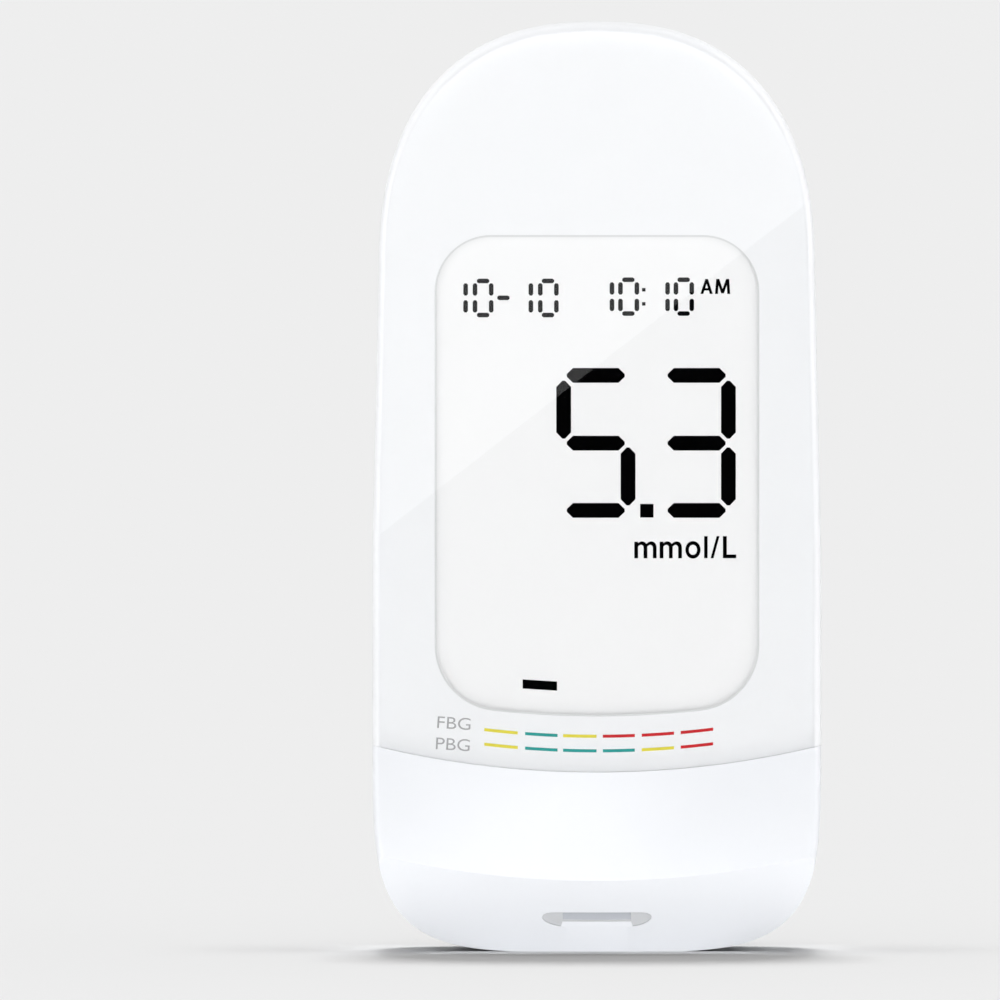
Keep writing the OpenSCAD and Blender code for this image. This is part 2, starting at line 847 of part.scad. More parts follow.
// Centre line of a conical spring that stands on z = 0
spring_turns = 3.5;
spring_wire = 0.25;
spring_steps = 15;
spring_sides = 6;
spring_foot_r = 3;
spring_tip_r = 1.6;
function spring_at(t) =
    let (r = spring_foot_r + (spring_tip_r - spring_foot_r) * t, a = 360 * spring_turns * t)
    [r * cos(a), r * sin(a), spring_wire + (spring_l - 2 * spring_wire) * t];

module coil_spring() {
    rings = floor(spring_turns * spring_steps);
    points = [for (k = [0 : rings]) let (t = k / rings, a = 360 * spring_turns * t)
        for (s = [0 : spring_sides - 1])
            let (b = 360 * s / spring_sides, out = spring_wire * cos(b), up = spring_wire * sin(b))
            spring_at(t) + [out * cos(a), out * sin(a), up]];
    sides = [for (k = [0 : rings - 1]) for (s = [0 : spring_sides - 1])
        let (i = k * spring_sides + s, j = k * spring_sides + (s + 1) % spring_sides)
        [i, i + spring_sides, j + spring_sides, j]];
    first = [for (s = [0 : spring_sides - 1]) s];
    last = [for (s = [spring_sides - 1 : -1 : 0]) rings * spring_sides + s];
    polyhedron(points = points, faces = concat(sides, [first, last]));
}

module battery_springs() {
    color("silver") {
        translate([-cell_x, cell_y, bay_low + plate_t]) coil_spring();
        translate([cell_x, cell_y, bay_top - plate_t]) mirror([0, 0, 1]) coil_spring();
    }
}

module cell() {
    cylinder(h = cell_l, r = cell_d / 2);
    cylinder(h = cell_l + cell_button_h, r = cell_button_r);
}

module battery_cells() {
    color("darkslateblue") {
        translate([-cell_x, cell_y, bay_low + plate_t + spring_l]) cell();
        translate([cell_x, cell_y, bay_top - plate_t - spring_l]) mirror([0, 0, 1]) cell();
    }
}

module battery_door() {
    half = door_w / 2;
    color("white") {
        block(-half, half, inner_back, back_y, door_low, hinge_z);
        x_rod(hinge_y, hinge_z, -half, half, barrel_r);
        x_rod(hinge_y, hinge_z, -half - hinge_pin_l, half + hinge_pin_l, hinge_pin_r);
    }
}

// Self-tapping screw with a round head that seats at seat_y and a crossed recess
module screw(x, z, seat_y, tip_y, r, head_r, head_t) {
    recess = head_r * 0.55;
    difference() {
        union() {
            y_rod(x, z, tip_y, seat_y + 0.2, r);
            y_rod(x, z, seat_y, seat_y + head_t, head_r);
        }
        for (turn = [0, 90]) translate([x, seat_y + head_t / 2, z]) rotate([0, turn, 0])
            block(-recess, recess, 0, head_t, -0.2, 0.2);
    }
}

// Screw that joins two pieces of the case at the parting line
module case_screw(x, z) {
    tip_y = parting_y - pilot_l + pilot_spare;
    screw(x, z, head_seat_y, tip_y, big_screw_r - bite, big_head_r, big_head_t);
}

module housing_screws() {
    color("silver") both_sides() case_screw(top_screw_x, top_screw_z);
}

module cap_screws() {
    color("silver") both_sides() case_screw(cap_screw_x, cap_screw_z);
}

module board_screw(x, z) {
    tip_y = board_front - board_pilot_l + tip_gap;
    screw(x, z, board_back, tip_y, screw_r - bite, screw_head_r, screw_head_t);
}

module board_screws() {
    color("silver") both_sides() {
        board_screw(post_x, post_z);
        board_screw(ledge_x, ledge_z);
    }
}

front_housing();
rear_housing();
lower_cap();
slot_guide();
front_panel();
printed_film();
panel_tape();
display_polariser();
display_front_glass();
display_rear_glass();
display_reflector();
display_frame();
display_connector();
main_board();
microcontroller();
measuring_chip();
memory_chip();
clock_crystal();
capacitors();
thermistor();
buzzer();
memory_switch();
set_switch();
strip_connector();
strip_contacts();
battery_tray();
battery_plates();
battery_springs();
battery_cells();
battery_door();
memory_button();
set_button();
housing_screws();
cap_screws();
board_screws();
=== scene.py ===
from contextlib import contextmanager
from math import atan2, cos, degrees, hypot, pi, radians, sin, sqrt

import bmesh
import bpy
from mathutils import Matrix, Vector
from mathutils.kdtree import KDTree


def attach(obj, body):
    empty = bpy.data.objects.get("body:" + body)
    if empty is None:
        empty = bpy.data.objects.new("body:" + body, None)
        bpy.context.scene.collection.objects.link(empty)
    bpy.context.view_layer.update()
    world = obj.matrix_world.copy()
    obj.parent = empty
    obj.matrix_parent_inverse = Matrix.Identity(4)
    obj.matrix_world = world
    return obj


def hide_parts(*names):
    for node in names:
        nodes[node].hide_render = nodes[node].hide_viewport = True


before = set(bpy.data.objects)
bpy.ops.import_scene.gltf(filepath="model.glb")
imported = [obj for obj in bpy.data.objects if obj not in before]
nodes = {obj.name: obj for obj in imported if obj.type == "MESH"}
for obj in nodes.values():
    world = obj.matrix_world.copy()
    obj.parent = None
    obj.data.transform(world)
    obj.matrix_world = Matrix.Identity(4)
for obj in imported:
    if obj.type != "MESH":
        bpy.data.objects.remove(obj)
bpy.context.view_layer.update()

MM = 0.001  # every size below is in millimetres

# ------------------------ sizes, as in the CAD

front, back, parting = -11.0, 11.0, 2.0
wall = 1.6
dome_half, dome_z, dome_rise, dome_power = 23.9, 75.0, 27.0, 2.4
body_half, foot_z, foot_drop, foot_power = 24.6, 25.5, 25.58, 4.4
side_z = 44.0                # point in each side, between the foot and the dome
pane_back, film_back, seat_front, seat_back = -10.0, -9.85, -9.6, -8.2
glass_front = -9.45          # front of the display's polariser
seam_z, seam_r, seam_gap = 19.9, 104.0, 0.03
crease_z, bevel_d = 8.0, 6.5
slope = bevel_d / crease_z   # how far the bevel runs back for each millimetre down
pane_edge = 0.8
window_half, window_low, window_top, window_low_r, window_top_r = 17.6, 26.2, 78.6, 7, 6
channel_half, channel_front, channel_back = 3.73, -7.95, -7.25
groove = 0.12                # chamfer on both sides of the joint between the housings
door_half, door_low, hinge_z, hinge_y, barrel_r = 13.0, 30.5, 82.9, 9.8, 1.2
door_gap = 0.25
memory_y, memory_z = -1.9, 58.0
set_z, set_r = 90.487, 2.0
head_r, head_seat = 2.0, 7.8  # seats of the case screws
pixel = 0.1096               # size of one mark of the front's drawing, 1000 by 1000 marks
segment_y = (glass_front - 0.02, glass_front)
print_y = (pane_back - 0.014, pane_back + 0.01)


# ------------------------ working by hand

def pick_only(*pieces):
    bpy.ops.object.select_all(action="DESELECT")
    for piece in pieces:
        piece.select_set(True)
    bpy.context.view_layer.objects.active = pieces[0]


@contextmanager
def editing(piece, mode="EDGE"):
    pick_only(piece)
    bpy.ops.object.mode_set(mode="EDIT")
    bpy.ops.mesh.select_mode(type=mode)
    bpy.ops.mesh.select_all(action="DESELECT")
    yield
    bpy.ops.object.mode_set(mode="OBJECT")


def pick(piece, kind, test):
    """Selects the vertices, edges or faces that pass the test, in edit mode."""
    mesh = bmesh.from_edit_mesh(piece.data)
    for part in getattr(mesh, kind):
        if test(part):
            part.select_set(True)
    bmesh.update_edit_mesh(piece.data)


def tidy_skin():
    bpy.ops.mesh.select_all(action="SELECT")
    bpy.ops.mesh.remove_doubles(threshold=1e-6)
    bpy.ops.mesh.normals_make_consistent(inside=False)


def placed(piece, name):
    piece.name = piece.data.name = name
    pick_only(piece)
    bpy.ops.object.transform_apply(location=True, rotation=True, scale=True)
    return piece


def drawn(name, points):
    """A closed line through points, drawn as a curve and made a mesh."""
    bpy.ops.object.select_all(action="DESELECT")
    bpy.ops.curve.primitive_bezier_circle_add()
    line = bpy.context.object
    line.data.splines.clear()
    spline = line.data.splines.new("POLY")
    spline.points.add(len(points) - 1)
    spline.points.foreach_set("co", [c for x, y, z in points for c in (x * MM, y * MM, z * MM, 1)])
    spline.use_cyclic_u = True
    bpy.ops.object.convert(target="MESH")
    return placed(bpy.context.object, name)


def filled(name, points, reach=None):
    """A closed line filled with a face, which is extruded by reach."""
    piece = drawn(name, points)
    with editing(piece):
        bpy.ops.mesh.select_all(action="SELECT")
        bpy.ops.mesh.edge_face_add()
        if reach:
            bpy.ops.mesh.extrude_region_move(TRANSFORM_OT_translate={"value": [c * MM for c in reach]})
            tidy_skin()
    return piece


def slab(name, outline, y0, y1):
    """A flat outline, seen from the front, filled and extruded from y0 to y1."""
    return filled(name, [(x, y0, z) for x, z in outline], (0, y1 - y0, 0))


def sideways(name, profile, half):
    """A profile seen from the side, filled and extruded across the body."""
    return filled(name, [(-half, y, z) for y, z in profile], (2 * half, 0, 0))


def grown(name, rings, joined=False):
    """A skin grown from the first ring by extruding its edge to each ring after it."""
    piece = drawn(name, rings[0])
    with editing(piece):
        bpy.ops.mesh.select_all(action="SELECT")
        for before, after in zip(rings, rings[1:]):
            bpy.ops.mesh.extrude_edges_indiv()
            tree = KDTree(len(before))
            for k, point in enumerate(before):
                tree.insert(Vector(point) * MM, k)
            tree.balance()
            mesh = bmesh.from_edit_mesh(piece.data)
            for corner in mesh.verts:
                if corner.select:
                    corner.co = Vector(after[tree.find(corner.co)[1]]) * MM
            bmesh.update_edit_mesh(piece.data)
        if not joined:
            bpy.ops.mesh.edge_face_add()
        bpy.ops.mesh.select_all(action="DESELECT")
        pick(piece, "edges", lambda e: e.is_boundary)
        if joined:
            bpy.ops.mesh.bridge_edge_loops()
        else:
            bpy.ops.mesh.edge_face_add()
        tidy_skin()
    return piece


def block(name, x0, x1, y0, y1, z0, z1, edge=0):
    """A cube primitive at its size and place, with its edges rounded."""
    middle = ((x0 + x1) / 2 * MM, (y0 + y1) / 2 * MM, (z0 + z1) / 2 * MM)
    bpy.ops.mesh.primitive_cube_add(size=1, location=middle)
    piece = bpy.context.object
    piece.scale = ((x1 - x0) * MM, (y1 - y0) * MM, (z1 - z0) * MM)
    placed(piece, name)
    if edge:
        with editing(piece):
            bpy.ops.mesh.select_all(action="SELECT")
            bpy.ops.mesh.bevel(offset=edge * MM, segments=2, affect="EDGES")
    return piece


def rod(name, start, end, radius, sides=48):
    """A cylinder primitive from start to end."""
    a, b = Vector(start) * MM, Vector(end) * MM
    turn = (b - a).to_track_quat("Z", "Y").to_euler()
    bpy.ops.mesh.primitive_cylinder_add(
        vertices=sides, radius=radius * MM, depth=(b - a).length, location=(a + b) / 2, rotation=turn)
    return placed(bpy.context.object, name)


def join(name, *pieces):
    pick_only(*pieces)
    bpy.ops.object.join()
    piece = bpy.context.object
    piece.name = piece.data.name = name
    return piece


def copied(piece, name, move, turn):
    """A copy with its own mesh, turned as seen from the front and then moved."""
    copy = piece.copy()
    copy.data = piece.data.copy()
    copy.name = copy.data.name = name
    bpy.context.scene.collection.objects.link(copy)
    copy.data.transform(Matrix.Translation(Vector(move) * MM) @ Matrix.Rotation(turn, 4, "Y"))
    return copy


def carve(piece, tool, operation="DIFFERENCE"):
    cut = piece.modifiers.new("cut", "BOOLEAN")
    cut.operation, cut.solver, cut.object = operation, "EXACT", tool
    pick_only(piece)
    bpy.ops.object.modifier_apply(modifier=cut.name)
    bpy.data.objects.remove(tool)
    return piece


def soften(piece, width, test, steps=3):
    """Rounds the edges that pass the test."""
    with editing(piece):
        pick(piece, "edges", test)
        bpy.ops.mesh.bevel(offset=width * MM, segments=steps, affect="EDGES", clamp_overlap=True)
    return piece


def smooth(piece, angle=32, even=True):
    pick_only(piece)
    bpy.ops.object.shade_smooth_by_angle(angle=radians(angle))
    if even:
        level = piece.modifiers.new("even", "WEIGHTED_NORMAL")
        level.keep_sharp = True
        level.mode = "FACE_AREA_WITH_ANGLE"
        bpy.ops.object.modifier_apply(modifier=level.name)
    return piece


# ------------------------ outlines

def even_turns(point, start, end, count):
    """Turns from start to end that divide the curve into equal lengths."""
    fine = [start + (end - start) * k / 12000 for k in range(12001)]
    run = [0.0]
    for a, b in zip(fine, fine[1:]):
        (xa, za), (xb, zb) = point(a), point(b)
        run.append(run[-1] + hypot(xb - xa, zb - za))
    turns, k = [], 0
    for n in range(count + 1):
        while run[k] < run[-1] * n / count - 1e-9:
            k += 1
        turns.append(fine[k])
    return turns


def dome_point(turn, inset=0.0):
    x = (dome_half - inset) * abs(cos(turn)) ** (2 / dome_power)
    z = dome_z + (dome_rise - inset) * abs(sin(turn)) ** (2 / dome_power)
    return (x if cos(turn) >= 0 else -x), z


def foot_point(turn, inset=0.0, lift=0.0):
    x = (body_half - inset) * abs(cos(turn)) ** (2 / foot_power)
    z = max(lift, foot_z - (foot_drop - lift) * abs(sin(turn)) ** (2 / foot_power))
    return (x if cos(turn) >= 0 else -x), z


dome_turns = even_turns(dome_point, 0, pi, 180)
foot_turns = even_turns(foot_point, pi, 2 * pi, 190)


def outline(inset, lift=None):
    """Front outline of the body, drawn in by inset, and by lift at the foot."""
    lift = inset if lift is None else lift
    side = body_half - inset
    return ([dome_point(t, inset) for t in dome_turns] + [(-side, side_z)]
            + [foot_point(t, inset, lift) for t in foot_turns] + [(side, side_z)])


def ring(y, inset, lift=None):
    return [(x, y, z) for x, z in outline(inset, lift)]


def front_rings():
    """Rings over the front edge, with hardly any rounding at the foot."""
    return [ring(y, inset, 0.2 * inset) for y, inset in front_round]


def seam_height(x, gap=0.0):
    return seam_z + seam_r - sqrt((seam_r - gap) ** 2 - x * x)


def above_seam(inset, gap):
    """The outline's part above the seam, closed along the seam's curve."""
    upper = [p for p in outline(inset) if p[1] > seam_height(p[0], gap) + 0.05]
    start = next(k for k, p in enumerate(upper) if k and upper[k - 1][0] < 0 < p[0] and p[1] < dome_z)
    x0, x1 = upper[start - 1][0], upper[start][0]
    across = [x0 + (x1 - x0) * k / 48 for k in range(49)]
    return upper[:start] + [(x, seam_height(x, gap)) for x in across] + upper[start:]


def arc(cx, cz, r, start, end, steps):
    return [(cx + r * cos(radians(start + (end - start) * k / steps)),
             cz + r * sin(radians(start + (end - start) * k / steps))) for k in range(steps + 1)]


def window(grow):
    """Outline of the window, drawn out by grow."""
    half, low_r, top_r = window_half + grow, window_low_r + grow, window_top_r + grow
    big_r, big_z = seam_r + grow, window_low + seam_r
    low_z = big_z - sqrt((big_r - low_r) ** 2 - (half - low_r) ** 2)
    turn = 90 - degrees(atan2(half - low_r, big_z - low_z))
    top_z = window_top + grow - top_r
    return (arc(0, big_z, big_r, 180 + turn, 360 - turn, 24)
            + arc(half - low_r, low_z, low_r, -turn, 0, 14)[1:]
            + arc(half - top_r, top_z, top_r, 0, 90, 16) + arc(-half + top_r, top_z, top_r, 90, 180, 16)
            + arc(-half + low_r, low_z, low_r, 180, 180 + turn, 14)[:-1])


def seam_tool(gap, upper):
    """Block that keeps what lies above or below the seam."""
    curve = [(x, seam_height(x, gap)) for x in (-30 + 0.75 * k for k in range(81))]
    far = 130 if upper else -8
    return slab("tool", curve + [(30, far), (-30, far)], front - 3, back + 3)


# ------------------------ shells

def rounding(flat, depth, inset, steps):
    """Level and inset of each ring of an edge, from the side to the flat face, reached at depth."""
    turns = [pi / 2 * k / steps for k in range(steps + 1)]
    return [(flat - depth * (1 - sin(t)), inset * (1 - cos(t))) for t in turns]


front_round = rounding(front, -1.2, 0.78, 10)
back_round = rounding(back, 8, 7.5, 14)
inner_round = [(y, wall + inset) for y, inset in rounding(back - wall, 6.4, 5.9, 8)]


def quarter(d, depth):
    """Lift of the foot at d from the back, round over depth."""
    return 0.0 if d >= depth else depth * (1 - sqrt(max(0.0, 1 - ((depth - d) / depth) ** 2)))


def back_rings():
    return [ring(y, inset, quarter(back - y, 3.0)) for y, inset in back_round]


def inner_rings():
    return [ring(y, inset, wall + quarter(back - wall - y, 2.2)) for y, inset in inner_round]


def make_front_housing():
    shell = grown("front_shell", [ring(parting, groove), ring(parting - groove, 0)] + front_rings()
                  + [ring(front, pane_edge), ring(seat_front, pane_edge), ring(seat_back, 4.2),
                     ring(seat_back, wall), ring(parting, wall)], joined=True)
    carve(shell, seam_tool(seam_gap, True), "INTERSECT")
    return smooth(carve(shell, pill("tool", memory_y, memory_z, 9.4, 3.4, 20, 26)))


def pill(name, y, z, length, width, x0, x1, steps=16):
    """Bar along X with round ends."""
    reach, r = (length - width) / 2, width / 2
    turns = [pi * k / steps for k in range(steps + 1)]
    points = [(x0, y + side * r * cos(t), z + side * (reach + r * sin(t))) for side in (1, -1) for t in turns]
    return filled(name, points, (x1 - x0, 0, 0))


def screw_seat(x, z):
    """Tool for a screw's hole and its head's seat."""
    hole = rod("tool", (x, parting - 1, z), (x, back + 2, z), 1.1)
    return join("tool", hole, rod("seat", (x, head_seat, z), (x, back + 2, z), head_r))


def door_opening():
    """Tool for the battery opening, flared at the outer face."""
    half, low, top, r = door_half + door_gap, door_low - door_gap, hinge_z + barrel_r + door_gap, 1.0
    corners = (arc(half - r, low + r, r, -90, 0, 6) + arc(half - r, top - r, r, 0, 90, 6)
               + arc(-half + r, top - r, r, 90, 180, 6) + arc(-half + r, low + r, r, 180, 270, 6))
    flare = 0.3
    tool = slab("tool", corners, 8.0, back - flare / 2)
    with editing(tool, "FACE"):
        pick(tool, "faces", lambda f: f.normal.y > 0.9)
        bpy.ops.mesh.extrude_region_move(TRANSFORM_OT_translate={"value": (0, flare * MM, 0)})
        bpy.ops.transform.resize(value=(1 + flare / half, 1, 1 + 2 * flare / (top - low)))
    return tool


def make_rear_housing():
    shell = grown("rear_shell", back_rings()[::-1] + [ring(parting + groove, 0), ring(parting, groove)]
                  + [ring(parting, wall)] + inner_rings())
    carve(shell, seam_tool(seam_gap, True), "INTERSECT")
    carve(shell, door_opening())
    carve(shell, rod("tool", (0, 6, set_z), (0, back + 1, set_z), set_r + 0.1, 64))
    ears = []
    for side in (-1, 1):
        carve(shell, screw_seat(side * 15.4, 89.687))
        x0, x1 = sorted((side * 13.3, side * 15.9))
        ears.append(block("ear", x0, x1, 7.8, 9.9, hinge_z - 2, hinge_z + 2, edge=0.3))
    return smooth(join("rear_shell", shell, *ears))


def bevel_round(skin):
    """Wide cylinder, lying back, that keeps what is behind the bevel by skin."""
    tilt = atan2(bevel_d, crease_z)
    big_r = seam_r / sin(tilt)
    tool = rod("tool", (0, 0, -60), (0, 0, 60), big_r - skin, 900)
    tool.data.transform(Matrix.Translation(Vector((0, front, crease_z)) * MM)
                        @ Matrix.Rotation(tilt, 4, "X") @ Matrix.Translation(Vector((0, big_r, 0)) * MM))
    return tool


def on_bevel(face):
    return -0.8 < face.normal.y < -0.74 and face.normal.z < -0.55


def make_lower_cap():
    shell = grown("cap_shell", front_rings()[::-1] + back_rings())
    carve(shell, bevel_round(0.0), "INTERSECT")
    soften(shell, 0.16, lambda e: sum(on_bevel(f) for f in e.link_faces) == 1)
    hollow = grown("hollow", [ring(front + wall, 2.2), ring(front + wall + 0.8, wall)] + inner_rings())
    carve(hollow, bevel_round(wall), "INTERSECT")
    carve(shell, hollow)
    carve(shell, seam_tool(0.0, False), "INTERSECT")
    carve(shell, slab("tool", slot_outline(0.0), -10.5, -5.2))
    pocket = [(-7.5, 4.2), (-8.35, 5.3), (-8.35, 9), (-6.85, 9), (-6.85, 4.2)]
    carve(shell, sideways("tool", pocket, 5.65))
    carve(shell, strip_channel())
    carve(shell, lip_tool())
    for side in (-1, 1):
        carve(shell, screw_seat(side * 18.6, 13))
    return smooth(shell)


# ------------------------ strip slot

def slot_outline(inset):
    """Boat-shaped outline of the slot piece, seen from the front, open at the lip."""
    right = [(5.0, 4.42), (5.5, 4.36), (5.84, 4.2), (6.0, 3.97), (5.96, 3.72), (5.67, 3.42),
             (5.12, 3.14), (4.55, 2.97), (3.95, 2.86)]
    centre = 3.75
    right = [(x - inset, centre + (z - centre) * (1 - inset / 0.7)) for x, z in right] + [(3.76, 3.40 + inset)]
    return [(-x, z) for x, z in reversed(right)] + right


def bevel_y(z, skin=0.0):
    """Level of the bevel's face on the centre line, or of a face skin behind it."""
    return front + (crease_z - z) * slope + skin * sqrt(1 + slope ** 2)


def lip_tool():
    """Tool for the shallow ramp that leads into the slot."""
    low = 2.56
    right = [(2.4, 2.64), (3.95, 2.86), (3.76, 3.45)]
    view = slab("tool", [(-x, z) for x, z in reversed(right)] + [(0, low)] + right, -10, -5)
    ramp = [(-10, 3.5), (bevel_y(3.5, 0.24), 3.5), (bevel_y(low, -0.02), low), (-10, low)]
    return carve(view, sideways("ramp", ramp, 6), "INTERSECT")


def strip_channel():
    return block("tool", -channel_half, channel_half, channel_front, channel_back, -1, 9)


def make_slot_guide():
    """Grey piece with a wing on each side of the strip channel, which widens at its mouth."""
    face = slab("slot_piece", slot_outline(0.03), -10.5, -5.6)
    carve(face, bevel_round(0.12), "INTERSECT")
    body = [(-7.4, 4.1), (-8.3, 5.35), (-8.3, 8.5), (-6.9, 8.5), (-6.9, 4.1)]
    carve(face, sideways("body", body, 5.6), "UNION")
    carve(face, strip_channel())
    low, high = 3.4, 4.45
    mouth = [(-channel_half, low), (channel_half, low), (channel_half, high), (-channel_half, high)]
    carve(face, slab("tool", mouth, -10, -7.3))
    return smooth(face, even=False)


# ------------------------ panel, film and display

def make_pane():
    return smooth(slab("clear_pane", above_seam(pane_edge, seam_gap), front, pane_back - 0.02), even=False)


def make_film():
    film = slab("printed_sheet", above_seam(pane_edge, seam_gap), pane_back, film_back)
    carve(film, slab("tool", window(0), pane_back - 1, film_back + 1))
    return smooth(film, even=False)


def make_window_line():
    """Thin grey line printed round the window."""
    line = slab("window_line", window(0.2), pane_back - 0.012, pane_back + 0.02)
    return carve(line, slab("tool", window(0.0), pane_back - 1, pane_back + 1))


def px(x, y):
    """Place on the front of a mark of the front's drawing, whose rows count down from the top."""
    return (x - 597.0) * pixel, (953.0 - y) * pixel + 0.13


def make_segments():
    """Dark segments of the display: large reading, date, time and marker."""

    def bar(name, length, width, point, flat):
        """Segment with pointed ends, blunted to flat."""
        half, side = length / 2, width / 2
        right = [(half - point, side), (half - 0.04, flat), (half - 0.04, -flat), (half - point, -side)]
        return slab(name, right + [(-x, -z) for x, z in right], *segment_y)

    def spread(model, name, places):
        made = []
        for x, y, upright in places:
            u, w = px(x, y)
            made.append(copied(model, name, (u, 0, w), pi / 2 if upright else 0))
        bpy.data.objects.remove(model)
        return join(name, *made)

    large = bar("large", 6.43, 1.62, 0.72, 0.16)
    digits = [(x, y, False) for x in (595.8, 696.7) for y in (375.7, 443.5, 510.8)]
    digits += [(x, y, True) for x, y in ((563.7, 410), (628.1, 476.8), (728.5, 410), (728.5, 476.8))]
    digits = spread(large, "large_digits", digits)
    (u0, w0), (u1, w1) = px(640.2, 517.9), px(653.6, 504.3)
    point = block("point", u0, u1, *segment_y, w0, w1)

    small = bar("small", 1.42, 0.5, 0.22, 0.12)
    marks = [(503.4, 298.1, False)]
    for columns, rows, upright in (((465.6, 475, 491.2, 530.9, 540.3, 556.4), (289.7, 306.6), True),
                                   ((483.1, 548), (281.2, 315.3), False),
                                   ((612, 620.5, 636.9, 667.6, 676, 691.8), (288.7, 305.2), True),
                                   ((628.4, 683.7), (280, 313.8), False)):
        marks += [(x, y, upright) for x in columns for y in rows]
    clock = spread(small, "small_digits", marks)
    dots = []
    dot = 0.19
    for y in (290, 304.1):
        u, w = px(643.8, y)
        dots.append(block("dot", u - dot, u + dot, *segment_y, w - dot, w + dot))
    u, w = px(539.9, 685.6)
    marker = block("marker", u - 1.89, u + 1.89, *segment_y, w - 0.5, w + 0.5)
    for side in (1, -1):
        with editing(marker, "FACE"):
            pick(marker, "faces", lambda f: side * f.normal.x > 0.9)
            bpy.ops.transform.translate(value=(0, 0, -side * 0.12 * MM))
    return join("large_digits", digits, point, marker), join("small_digits", clock, *dots)


def lettered(name, words, left, right, low, high, level, turn=0.0, weight=0.0):
    """Words that fill the box between marks of the front's drawing, as deep as level says."""
    bpy.ops.object.select_all(action="DESELECT")
    bpy.ops.object.text_add()
    text = bpy.context.object
    text.data.body = words
    text.data.extrude = 0.5
    text.data.offset = weight
    text.data.resolution_u = 6
    bpy.ops.object.convert(target="MESH")
    piece = bpy.context.object
    corners = [v.co for v in piece.data.vertices]
    lo = [min(c[k] for c in corners) for k in range(3)]
    hi = [max(c[k] for c in corners) for k in range(3)]
    (x0, z0), (x1, z1), (y0, y1) = px(left, low), px(right, high), level
    centre = Vector(((x0 + x1) / 2, (y0 + y1) / 2, (z0 + z1) / 2)) * MM
    sizes = [size * MM / (hi[k] - lo[k]) for k, size in enumerate((x1 - x0, z1 - z0, y1 - y0))]
    piece.data.transform(Matrix.Translation(centre) @ Matrix.Rotation(turn, 4, "Y")
                         @ Matrix.Rotation(pi / 2, 4, "X") @ Matrix.Diagonal((*sizes, 1))
                         @ Matrix.Translation([-(lo[k] + hi[k]) / 2 for k in range(3)]))
    return placed(piece, name)


def make_display_words():
    letters = [lettered("unit", words, *box, segment_y, weight=weight) for words, box, weight in (
        ("mm", (634.4, 682.0, 558.7, 541.8), 0.012), ("o", (685.5, 700.6, 559.0, 541.5), 0.012),
        ("l", (704.2, 707.7, 558.6, 536.6), 0), ("/", (710.7, 719.6, 558.7, 536.5), 0.012),
        ("L", (723.0, 736.3, 558.6, 536.6), 0.015))]
    # the two capitals beside the time, stroke by stroke
    thick, thin = 0.155, 0.125   # half widths of the upright strokes and the crossbar
    for strokes in ([(701.9, 294.2, 706.8, 279.2), (706.6, 279.2, 711.4, 294.2), (703.4, 289.6, 709.8, 289.6)],
                    [(716.5, 294.2, 717.7, 279.2), (717.9, 279.2, 722.7, 293.6), (722.5, 293.6, 727.6, 279.2),
                     (727.8, 279.2, 728.8, 294.2)]):
        capital = None
        for x0, z0, x1, z1 in strokes:
            (u0, w0), (u1, w1) = px(x0, z0), px(x1, z1)
            if z0 == z1:
                line = block("stroke", u0, u1, *segment_y, w0 - thin, w0 + thin)
            else:
                corners = [(u0 - thick, w0), (u0 + thick, w0), (u1 + thick, w1), (u1 - thick, w1)]
                line = slab("stroke", corners, *segment_y)
            capital = line if capital is None else carve(capital, line, "UNION")
        letters.append(capital)
    return join("unit_words", *letters)


def make_row_labels():
    boxes = {"FBG": (437.4, 470.6, 729.6, 717.6), "PBG": (436, 469.8, 750.8, 738.8)}
    return join("row_labels", *[lettered(words.lower(), words, *box, print_y, radians(3.6), -0.004)
                                for words, box in boxes.items()])


def make_dashes():
    """Two rows of colour dashes that follow the seam's curve."""
    spans = [(484.3, 517.8), (525.1, 557.6), (563.1, 596.6), (602.9, 634.9), (641.8, 674.1), (680.8, 713.3)]
    half = 0.17
    kept = {"y": [], "t": [], "r": []}
    for level, colours in ((736.7, "ytyrrr"), (751.3, "ytttyr")):
        for (x0, x1), colour in zip(spans, colours):
            line = []
            for k in range(7):
                u, w = px(x0 + (x1 - x0) * k / 6, level)
                line.append((u, w + seam_r - sqrt(seam_r ** 2 - u * u)))
            corners = [(u, w + half) for u, w in line] + [(u, w - half) for u, w in reversed(line)]
            kept[colour].append(slab("dash", corners, *print_y))
    return [join(name, *kept[name[0]]) for name in ("yellow_dashes", "teal_dashes", "red_dashes")]


# ------------------------ door and buttons

